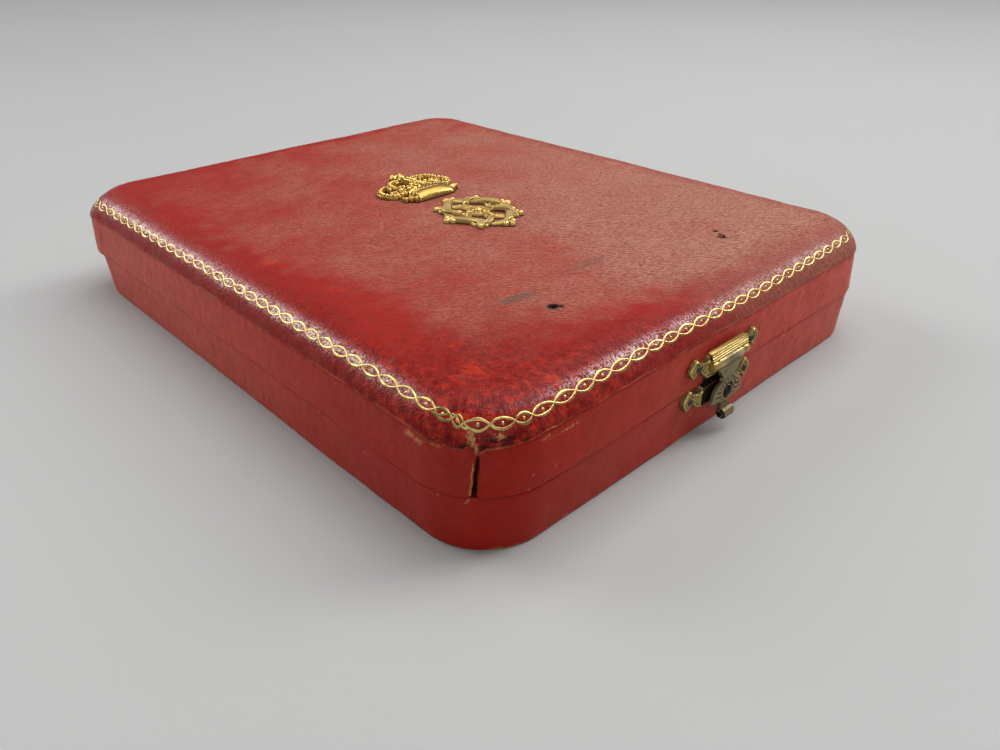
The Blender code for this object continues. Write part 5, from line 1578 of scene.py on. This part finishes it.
def stamped(x, y, inside, base, body):
    """Face of a stamped sheet: a rounded edge, a raised border line, scrolls and dots in its wings."""
    wings = smooth(np.abs(x), body - 0.2 * MM, body + 0.9 * MM)
    edge = 0.20 * MM * (1 - smooth(inside, 0, 0.24 * MM))
    line = 0.20 * MM * bell(inside, 0.38 * MM, 0.13 * MM)
    turn = np.arctan2(y - y.mean(), np.abs(x) - body - 2.2 * MM)
    reach = np.hypot(y - y.mean(), np.abs(x) - body - 2.2 * MM)
    scroll = 0.13 * MM * np.cos(3 * turn + reach / (0.13 * MM)) * smooth(inside, 0.5 * MM, 0.8 * MM)
    return base - edge + line + wings * (scroll - 0.38 * MM)


def tube_shell(low, high, radius, sides=28):
    """A closed round bar between two points, with rounded ends."""
    low, high = np.array(low, float), np.array(high, float)
    along = high - low
    size = np.linalg.norm(along)
    along /= size
    helper = np.array([0.0, 0.0, 1.0]) if abs(along[2]) < 0.9 else np.array([0.0, 1.0, 0.0])
    side = np.cross(helper, along)
    side /= np.linalg.norm(side)
    up = np.cross(along, side)
    soft = min(0.18 * MM, 0.3 * radius)
    ends = np.array([(0, 0.001), (0, 0.55), (0, 1 - soft / radius),
                     (soft * 0.4, 1 - 0.25 * soft / radius), (soft, 1.0)])
    rows = np.vstack([ends, [(size / 2, 1.0)], np.column_stack([size - ends[::-1, 0], ends[::-1, 1]])])
    angle = full_turn(sides)[:, None]
    ring = np.cos(angle) * side + np.sin(angle) * up
    points = low + rows[:, 0, None, None] * along + rows[:, 1, None, None] * radius * ring
    return points.reshape(-1, 3), grid_quads(len(rows), sides, wrap=True)[:, ::-1]


def barrel(left, right, radius, sides=28):
    """A round bar on the clasp's hinge line, from left to right."""
    return tube_shell((left, KNUCKLE_RISE, KNUCKLE_PROUD), (right, KNUCKLE_RISE, KNUCKLE_PROUD), radius, sides)


def ribbed_band(half, low, high):
    """A bar along the clasp: its section slopes back from a thick lower edge over straight rounded ridges.

    Out = the slope + 0.22 mm x |sin(4 pi x share of the way up)| ^ 0.5.
    """
    share = np.linspace(0, 1, 65)
    out = (1.62 - 0.62 * share) * MM + 0.22 * MM * np.abs(np.sin(4 * math.pi * share)) ** 0.5
    section = np.vstack([np.column_stack([low + (high - low) * share, out]),
                         [(high, 0.3 * MM), (low, 0.3 * MM)]])
    middle = section.mean(0)
    along = np.array([-half, -half, -half + 0.08 * MM, 0, half - 0.08 * MM, half, half])
    size = np.array([0.001, 0.9, 1.0, 1.0, 1.0, 0.9, 0.001])
    swept = middle + size[:, None, None] * (section - middle)
    points = np.concatenate([np.broadcast_to(along[:, None, None], swept.shape[:2] + (1,)), swept], -1)
    return points.reshape(-1, 3), grid_quads(len(along), len(section), wrap=True)[:, ::-1]


def joined(shells):
    """Several shells as one set of points and quads."""
    points, quads, first = [], [], 0
    for shell_points, shell_quads in shells:
        points.append(shell_points)
        quads.append(shell_quads + first)
        first += len(shell_points)
    return np.concatenate(points), np.concatenate(quads)


def plate_tone(x, y, z):
    """The mark raised of the knuckles and the ribbed band: bright on the ridges, dark between them."""
    ridges = 0.05 + 0.9 * np.abs(np.sin(4 * math.pi * (y - BAND_LOW) / (BAND_HIGH - BAND_LOW))) ** 0.6
    return np.where((y >= BAND_LOW - 0.01 * MM) & (y < BAND_HIGH - 0.02 * MM) & (z > 0.8 * MM), ridges, 0.6)


def barrel_tone(x, y, z):
    """The mark raised of the lever's barrel and tab: bright at both ends, grey between them."""
    tab = np.hypot(y - KNUCKLE_RISE + TAB_DROP, z - TAB_OUT)
    inside_tab = (y < 0) & (tab < TAB_RADIUS - 0.2 * MM)
    tone = 0.42 + 0.6 * smooth(np.abs(x), 1.9 * MM, 2.9 * MM) * (y > KNUCKLE_RISE - 1.5 * MM) + 0.2 * (y < 0)
    # Inside the rolled tab the mark is 0: painted shade inside the roll.
    return np.where(inside_tab, 0.0, tone)


def build_clasp_plates():
    """Upper plate with ribbed band and knuckles, lower plate, and the pin."""
    inner = BARREL_SHARE * LEVER_HALF + 0.15 * MM
    x, y = relief_grid(-12 * MM, 12 * MM, 0.8 * MM, 8.2 * MM, 0.6)
    shape = plate_outline(UPPER_BODY, 11.6 * MM, UPPER_NAIL[1], 2.15 * MM, 6.5 * MM, 1.5 * MM)
    inside = inside_distance(x, y, rounded(shape, 1))
    face = stamped(x, y, inside, 0.9 * MM, UPPER_BODY)
    holes = np.minimum(np.hypot(np.abs(x) - UPPER_NAIL[0], y - UPPER_NAIL[1]) - NAIL_HOLE, inside)
    window = (np.abs(x) < inner + 0.1 * MM) & (np.abs(y - KNUCKLE_RISE) < KNUCKLE_RADIUS + 0.1 * MM)
    there = (holes > 0) & ~window
    shells = [barrel(side * inner, side * (inner + 1.8 * MM), KNUCKLE_RADIUS) for side in (-1, 1)]
    shells.append(ribbed_band(5.9 * MM, BAND_LOW, BAND_HIGH))
    under = np.full(x.shape, 0.05 * MM)
    relief_piece("clasp_upper_plate", x, y, face, under, there, clasp_matrix(), "plate_brass", "lid",
                 "stamped_brass", ["clasp_plate"], extra=(*joined(shells), plate_tone))
    x, y = relief_grid(-11.6 * MM, 11.6 * MM, -4.6 * MM, 1.4 * MM, 0.6)
    shape = plate_outline(LOWER_BODY, 11.2 * MM, LOWER_NAIL[1], 2.5 * MM, 0.4 * MM, -4.2 * MM)
    inside = inside_distance(x, y, rounded(shape, 1))
    face = stamped(x, y, inside, 0.8 * MM, LOWER_BODY)
    holes = np.minimum(np.hypot(np.abs(x) - LOWER_NAIL[0], y - LOWER_NAIL[1]) - NAIL_HOLE, inside)
    under = np.full(x.shape, -TRAY_TOP_INSET - 0.05 * MM)
    # The lower plate's middle behind the lever is given shade: a painted shadow of the lever, dark and dull.
    relief_piece("clasp_lower_plate", x, y, face, under, holes > 0, clasp_matrix(CATCH_SHIFT), "plate_brass",
                 "base", "stamped_brass", ["catch_plate"], shade=0.5 * (np.abs(x) < LOWER_BODY - 0.2 * MM))
    points, quads = barrel(-inner - 1.85 * MM, inner + 1.85 * MM, PIN_RADIUS, 16)
    new_piece("clasp_hinge_pin", placed(points, clasp_matrix()), quads, [old_metal("plate_brass")], "lid",
              "stamped_brass", ["clasp_pin"], marks={"raised": np.full(len(points), 0.5)}, sharp=40.0)


def build_lever():
    """The lever: a waisted sheet that bends in towards the case, a barrel, a rolled tab and side curls."""
    half = (0, KNUCKLE_RISE) + np.array(LEVER_OUTLINE) * (LEVER_HALF, -LEVER_LENGTH)
    shape = rounded(np.vstack([half, half[::-1] * np.array([-1, 1])]), 2)
    tab_y = KNUCKLE_RISE - TAB_DROP
    x, y = relief_grid(-6.2 * MM, 6.2 * MM, tab_y - 0.3 * MM, KNUCKLE_RISE + 0.4 * MM, 0.7)
    inside = inside_distance(x, y, shape)
    neck = 1.45 * MM - np.abs(x)
    below = y < KNUCKLE_RISE - 0.93 * LEVER_LENGTH
    inside = np.where(below, np.maximum(inside, np.where(y > tab_y, neck, -1)), inside)
    hole = np.hypot(x, (y - KNUCKLE_RISE + STUD_DROP) / 1.08) - 1.55 * MM
    down = KNUCKLE_RISE - y
    bend = 0.35 * MM * smooth(down, 7.2 * MM, 11.5 * MM) + 0.45 * MM * (1 - smooth(down, 0.7 * MM, 1.5 * MM))
    bend += 0.12 * MM
    edge = 0.26 * MM * (1 - smooth(inside, 0, 0.34 * MM))
    line = 0.10 * MM * bell(inside, 0.62 * MM, 0.14 * MM) * smooth(down, 3.4 * MM, 4.0 * MM)
    shell = 0.10 * MM * np.cos(11 * np.arctan2(y - KNUCKLE_RISE + 3.0 * MM, x)) * bell(down, 4.4 * MM, 0.9 * MM)
    collar = 0.12 * MM * bell(hole, 0.32 * MM, 0.2 * MM)
    turn = np.arctan2(down - 5.4 * MM, np.abs(x) - 2.6 * MM)
    reach = np.hypot(down - 5.4 * MM, np.abs(x) - 2.6 * MM)
    scrolls = 0.16 * MM * np.cos(2 * turn + reach / (0.16 * MM)) * smooth(inside, 0.7 * MM, 1.1 * MM)
    scrolls *= smooth(down, 3.6 * MM, 4.4 * MM) * smooth(hole, 0.5 * MM, 0.8 * MM)
    face = LEVER_FACE - bend - edge + line + shell + collar + scrolls
    under = LEVER_FACE - LEVER_SHEET - bend
    there = (inside > 0) & (hole > 0)
    end = BARREL_SHARE * LEVER_HALF
    shells = [barrel(-end, end, KNUCKLE_RADIUS), rolled_tab(tab_y, TAB_OUT)]
    for side in (-1, 1):
        centre = np.array([side * 0.50 * LEVER_HALF, KNUCKLE_RISE - 0.325 * LEVER_LENGTH])
        turn = np.linspace(0, 1.6 * math.pi, 20)
        reach = (0.62 - 0.42 * turn / turn[-1]) * MM
        path = centre + np.stack([side * reach * np.cos(turn - 0.6), -reach * np.sin(turn - 0.6)], -1)
        shells.append(wire(path, LEVER_FACE - 0.2 * MM, 0.17 * MM))
    relief_piece("clasp_lever_body", x, y, face, under, there, clasp_matrix(), "lever_brass", "lever",
                 "tarnished_brass", ["clasp_lever"], extra=(*joined(shells), barrel_tone))


def wire(path, level, radius, sides=10):
    """A thin round wire along a plan path at one level, closed to a point at its ends."""
    run = np.gradient(path, axis=0)
    run /= np.linalg.norm(run, axis=1, keepdims=True) + 1e-12
    side = np.stack([-run[:, 1], run[:, 0]], -1)
    angle = full_turn(sides)
    size = radius * np.minimum(1, np.minimum(np.arange(len(path)), np.arange(len(path))[::-1]) / 2 + 0.01)
    plan = path[:, None] + size[:, None, None] * np.cos(angle)[None, :, None] * side[:, None]
    out = level + size[:, None] * np.sin(angle)
    points = np.concatenate([plan, out[..., None]], -1).reshape(-1, 3)
    return points, grid_quads(len(path), sides, wrap=True)[:, ::-1]


def rolled_tab(up, out):
    """The finger tab: a sheet rolled into an open tube, fluted outside, carried along the clasp's width."""
    turn = np.linspace(math.radians(-78), math.radians(264), 44)
    outer, sheet = TAB_RADIUS, 0.38 * MM
    along = np.linspace(-TAB_LENGTH / 2, TAB_LENGTH / 2, 49)
    flutes = 0.045 * MM * np.cos(along / (0.5 * MM) * 2 * math.pi)
    soft = 0.10 * MM * smooth(np.abs(along), TAB_LENGTH / 2 - 0.25 * MM, TAB_LENGTH / 2)
    ring_out = outer + flutes - soft
    ring_in = outer - sheet + soft * 0.5
    section = np.concatenate([turn, turn[::-1]])
    radius = np.repeat(np.stack([ring_out, ring_in], 1), len(turn), axis=1)
    across = np.broadcast_to(along[:, None], radius.shape)
    points = np.stack([across, up + radius * np.sin(section), out + radius * np.cos(section)], -1)
    count = points.shape[1]
    quads = grid_quads(len(along), count, wrap=True)
    ends = []
    for row in (0, len(along) - 1):
        first = row * count
        a = first + np.arange(len(turn) - 1)
        b = first + count - 1 - np.arange(len(turn) - 1)
        cap = np.stack([a, a + 1, b - 1, b], -1)
        ends.append(cap if row else cap[:, ::-1])
    return points.reshape(-1, 3), np.concatenate([quads[:, ::-1]] + [end[:, ::-1] for end in ends])


def nail_shell(radius, rise, base, foot, seed):
    """A domed head turned round its axis, a little uneven, closed below."""
    steps, sides = 9, 24
    angle = np.linspace(math.pi / 2, 0, steps)
    rows = np.column_stack([radius * np.cos(angle) + 1e-7, base + rise * np.sin(angle)])
    rows = np.vstack([rows, [(radius * 0.96, base - 0.05 * MM), (0.4 * radius, base - 0.06 * MM),
                             (0.4 * radius, foot), (1e-7, foot)]])
    turn = full_turn(sides)
    wobble = 1 + 0.05 * np.sin(2 * turn + seed) + 0.03 * np.sin(3 * turn + 2 * seed)
    plan = rows[:, 0, None, None] * wobble[None, :, None] * np.stack([np.cos(turn), np.sin(turn)], -1)[None]
    points = np.concatenate([plan, np.broadcast_to(rows[:, 1, None, None], plan.shape[:2] + (1,))], -1)
    return points.reshape(-1, 3), grid_quads(len(rows), sides, wrap=True)


def build_nails():
    """Four nails and the stud, each a turned dome at its place."""
    stud = (0.0, KNUCKLE_RISE - STUD_DROP)
    table = (
        ("clasp_nail_left", "_dome", UPPER_NAIL, -1, 0.0, 0.72, 0.40, 0.72, "lid"),
        ("clasp_nail_right", "_dome", UPPER_NAIL, 1, 0.0, 0.72, 0.40, 0.72, "lid"),
        ("catch_nail_left", "_dome", LOWER_NAIL, -1, CATCH_SHIFT, 0.72, 0.40, 0.62, "base"),
        ("catch_nail_right", "_dome", LOWER_NAIL, 1, CATCH_SHIFT, 0.72, 0.40, 0.62, "base"),
        ("catch_stud", "_head", stud, 1, 0.0, 1.32, 0.85, 2.05, "base"),
    )
    for number, (cad, ending, place, side, shift, radius, rise, base, body) in enumerate(table):
        points, quads = nail_shell(radius * MM, rise * MM, base * MM, -1.5 * MM, number)
        points = placed(points + np.array([side * place[0], place[1], 0]), clasp_matrix(shift))
        metal = old_metal("nail_steel" if number < 4 else "stud_steel")
        new_piece(cad + ending, points, quads, [metal], body, "dark_steel", [cad],
                  marks={"raised": np.full(len(points), 0.5)})


def build_hinges():
    """Give the hinges their brass: leaves and pins keep the model's shape."""
    for name, item in frame["nodes"].items():
        if name.startswith("hinge_"):
            item.data.materials.clear()
            item.data.materials.append(hinge_brass())


# ---- stage

def build_stage():
    """Floor, backdrop, soft lights and the camera at the photo's angle."""
    bend = np.linspace(0, math.pi / 2, 14)[1:]
    radius = np.concatenate([np.linspace(0.001, FLOOR_RADIUS, 24), FLOOR_RADIUS + COVE * np.sin(bend)])
    rise = np.concatenate([np.zeros(24), COVE * (1 - np.cos(bend))])
    turn = full_turn(64)
    plan = radius[:, None, None] * np.stack([np.cos(turn), np.sin(turn)], -1)[None]
    height = np.broadcast_to(rise[:, None, None], plan.shape[:2] + (1,))
    points = np.concatenate([plan, height], -1).reshape(-1, 3)
    quads = grid_quads(len(radius), 64, wrap=True)
    mesh = bpy.data.meshes.new("floor")
    mesh.from_pydata(points.tolist(), [], quads[:, ::-1].tolist() + [list(range(64))])
    mesh.shade_smooth()
    t, tone = new_material("paper_floor", 0.7), tuple(colours().floor)
    colour = t.mixed(t.ranged(t.noise(3.0, 3.0), 0.3, 0.7), tone, tuple(0.97 * v for v in tone))
    mesh.materials.append(t.finish(colour, None, t.noise(900.0), 0.00002, 0.2))
    floor = bpy.data.objects.new("floor", mesh)
    bpy.context.scene.collection.objects.link(floor)
    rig.stage(floor)
    world = bpy.data.worlds.new("studio")
    world.use_nodes = True
    grey = world.node_tree.nodes["Background"].inputs
    grey["Color"].default_value, grey["Strength"].default_value = WORLD_COLOUR, WORLD_STRENGTH
    bpy.context.scene.world = world
    for name, (place, size, power) in LIGHTS.items():
        lamp = bpy.data.lights.new(name, 'AREA')
        lamp.shape, lamp.size, lamp.energy = 'SQUARE', size, power
        item = bpy.data.objects.new(name, lamp)
        item.location = place
        item.rotation_mode = 'QUATERNION'
        item.rotation_quaternion = (-Matrix.Translation(place).to_translation()).to_track_quat('-Z', 'Y')
        bpy.context.scene.collection.objects.link(item)
    place_camera()
    bpy.context.scene.view_settings.view_transform = 'Standard'


def place_camera():
    """Camera from its place, azimuth, elevation, roll and focal length."""
    azimuth, elevation, roll = (math.radians(angle) for angle in CAMERA_TURN)
    level = math.cos(elevation)
    back = np.array([math.sin(azimuth) * level, -math.cos(azimuth) * level, math.sin(elevation)])
    right = np.cross(-back, (0, 0, 1))
    right /= np.linalg.norm(right)
    up = np.cross(right, -back)
    right, up = math.cos(roll) * right + math.sin(roll) * up, -math.sin(roll) * right + math.cos(roll) * up
    data = bpy.data.cameras.new("camera")
    data.sensor_width, data.lens = SENSOR, CAMERA_FOCAL * SENSOR
    data.clip_start, data.clip_end = 0.005, 20.0
    camera = bpy.data.objects.new("camera", data)
    matrix = Matrix(np.column_stack([right, up, back]).tolist()).to_4x4()
    matrix.translation = CAMERA_PLACE
    camera.matrix_world = matrix
    bpy.context.scene.collection.objects.link(camera)
    bpy.context.scene.camera = camera


# ---- operators

def build_tray():
    """The tray's leather and lining."""
    rows = tray_rows()
    build_shell(rows, "tray_leather", "base", [smooth_leather(), lining_paper()], "leather_side", ["base_tray"],
                slice(2, len(rows) - 5), range(len(rows) - 4, len(rows)), tray_change)


def build_band():
    """The lid's side band and lining."""
    rows = lid_rows()
    build_shell(rows, "lid_side_band", "lid", [smooth_leather(), lining_paper()], "leather_side", ["lid_frame"],
                slice(4, 7 + SIDE_ROWS), range(0, 3), band_change)


class CasePiece:
    """What the case's operators share: each can be undone."""
    bl_options = {'REGISTER', 'UNDO'}


class CASE_OT_tray(CasePiece, bpy.types.Operator):
    """Make the tray's leather and lining."""
    bl_idname = "case.tray"
    bl_label = "Tray leather"

    def execute(self, context):
        build_tray()
        return {'FINISHED'}


class CASE_OT_band(CasePiece, bpy.types.Operator):
    """Make the lid's side band and lining."""
    bl_idname = "case.band"
    bl_label = "Lid side band"

    def execute(self, context):
        build_band()
        return {'FINISHED'}


class CASE_OT_cap(CasePiece, bpy.types.Operator):
    """Make the leather over the lid's top and rounded edge."""
    bl_idname = "case.cap"
    bl_label = "Lid top leather"

    def execute(self, context):
        build_cap()
        return {'FINISHED'}


class CASE_OT_chain(CasePiece, bpy.types.Operator):
    """Make the chain of gold tooling."""
    bl_idname = "case.chain"
    bl_label = "Gold chain"

    def execute(self, context):
        build_chain()
        return {'FINISHED'}


class CASE_OT_crown(CasePiece, bpy.types.Operator):
    """Make the crown in relief."""
    bl_idname = "case.crown"
    bl_label = "Crown"

    def execute(self, context):
        build_crown()
        return {'FINISHED'}


class CASE_OT_strapwork(CasePiece, bpy.types.Operator):
    """Make the pierced strapwork."""
    bl_idname = "case.strapwork"
    bl_label = "Strapwork"

    def execute(self, context):
        build_knot()
        return {'FINISHED'}


class CASE_OT_plates(CasePiece, bpy.types.Operator):
    """Make both plates of the clasp and its pin."""
    bl_idname = "case.plates"
    bl_label = "Clasp plates"

    def execute(self, context):
        build_clasp_plates()
        return {'FINISHED'}


class CASE_OT_lever(CasePiece, bpy.types.Operator):
    """Make the lever of the clasp."""
    bl_idname = "case.lever"
    bl_label = "Clasp lever"

    def execute(self, context):
        build_lever()
        return {'FINISHED'}


class CASE_OT_nails(CasePiece, bpy.types.Operator):
    """Make the four nails and the stud."""
    bl_idname = "case.nails"
    bl_label = "Nails and stud"

    def execute(self, context):
        build_nails()
        return {'FINISHED'}


class CASE_OT_hinges(CasePiece, bpy.types.Operator):
    """Give the hinges their brass."""
    bl_idname = "case.hinges"
    bl_label = "Hinges"

    def execute(self, context):
        build_hinges()
        return {'FINISHED'}


class CASE_OT_stage(CasePiece, bpy.types.Operator):
    """Make the floor, the lights and the camera."""
    bl_idname = "case.stage"
    bl_label = "Stage"

    def execute(self, context):
        build_stage()
        return {'FINISHED'}


OPERATORS = (CASE_OT_tray, CASE_OT_band, CASE_OT_cap, CASE_OT_chain, CASE_OT_crown, CASE_OT_strapwork, CASE_OT_plates,
             CASE_OT_lever, CASE_OT_nails, CASE_OT_hinges, CASE_OT_stage)


class CASE_PT_panel(bpy.types.Panel):
    """Sidebar panel that lists the builders and the settings."""
    bl_label = "Presentation case"
    bl_space_type = 'VIEW_3D'
    bl_region_type = 'UI'
    bl_category = "Case"

    def draw(self, context):
        """List the operators, sizes and colours."""
        for item in OPERATORS:
            self.layout.operator(item.bl_idname)
        for group in (context.scene.case_sizes, context.scene.case_colours):
            for key in group.__annotations__:
                self.layout.prop(group, key)


CLASSES = [CaseSizes, CaseColours, *OPERATORS, CASE_PT_panel]


def register():
    """Register the classes and the scene's settings."""
    for item in CLASSES:
        bpy.utils.register_class(item)
    bpy.types.Scene.case_sizes = bpy.props.PointerProperty(type=CaseSizes)
    bpy.types.Scene.case_colours = bpy.props.PointerProperty(type=CaseColours)


def unregister():
    """Remove the settings and the classes."""
    del bpy.types.Scene.case_colours
    del bpy.types.Scene.case_sizes
    for item in reversed(CLASSES):
        bpy.utils.unregister_class(item)


def main():
    """Register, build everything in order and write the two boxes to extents.json."""
    register()
    for item in OPERATORS:
        getattr(bpy.ops.case, item.bl_idname.partition(".")[2])()
    low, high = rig.bounds()
    with open("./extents.json", "w") as file:
        json.dump({"cad": [list(CAD_LOW), list(CAD_HIGH)], "visual": [list(low), list(high)]}, file)


if __name__ == "__main__":
    main()
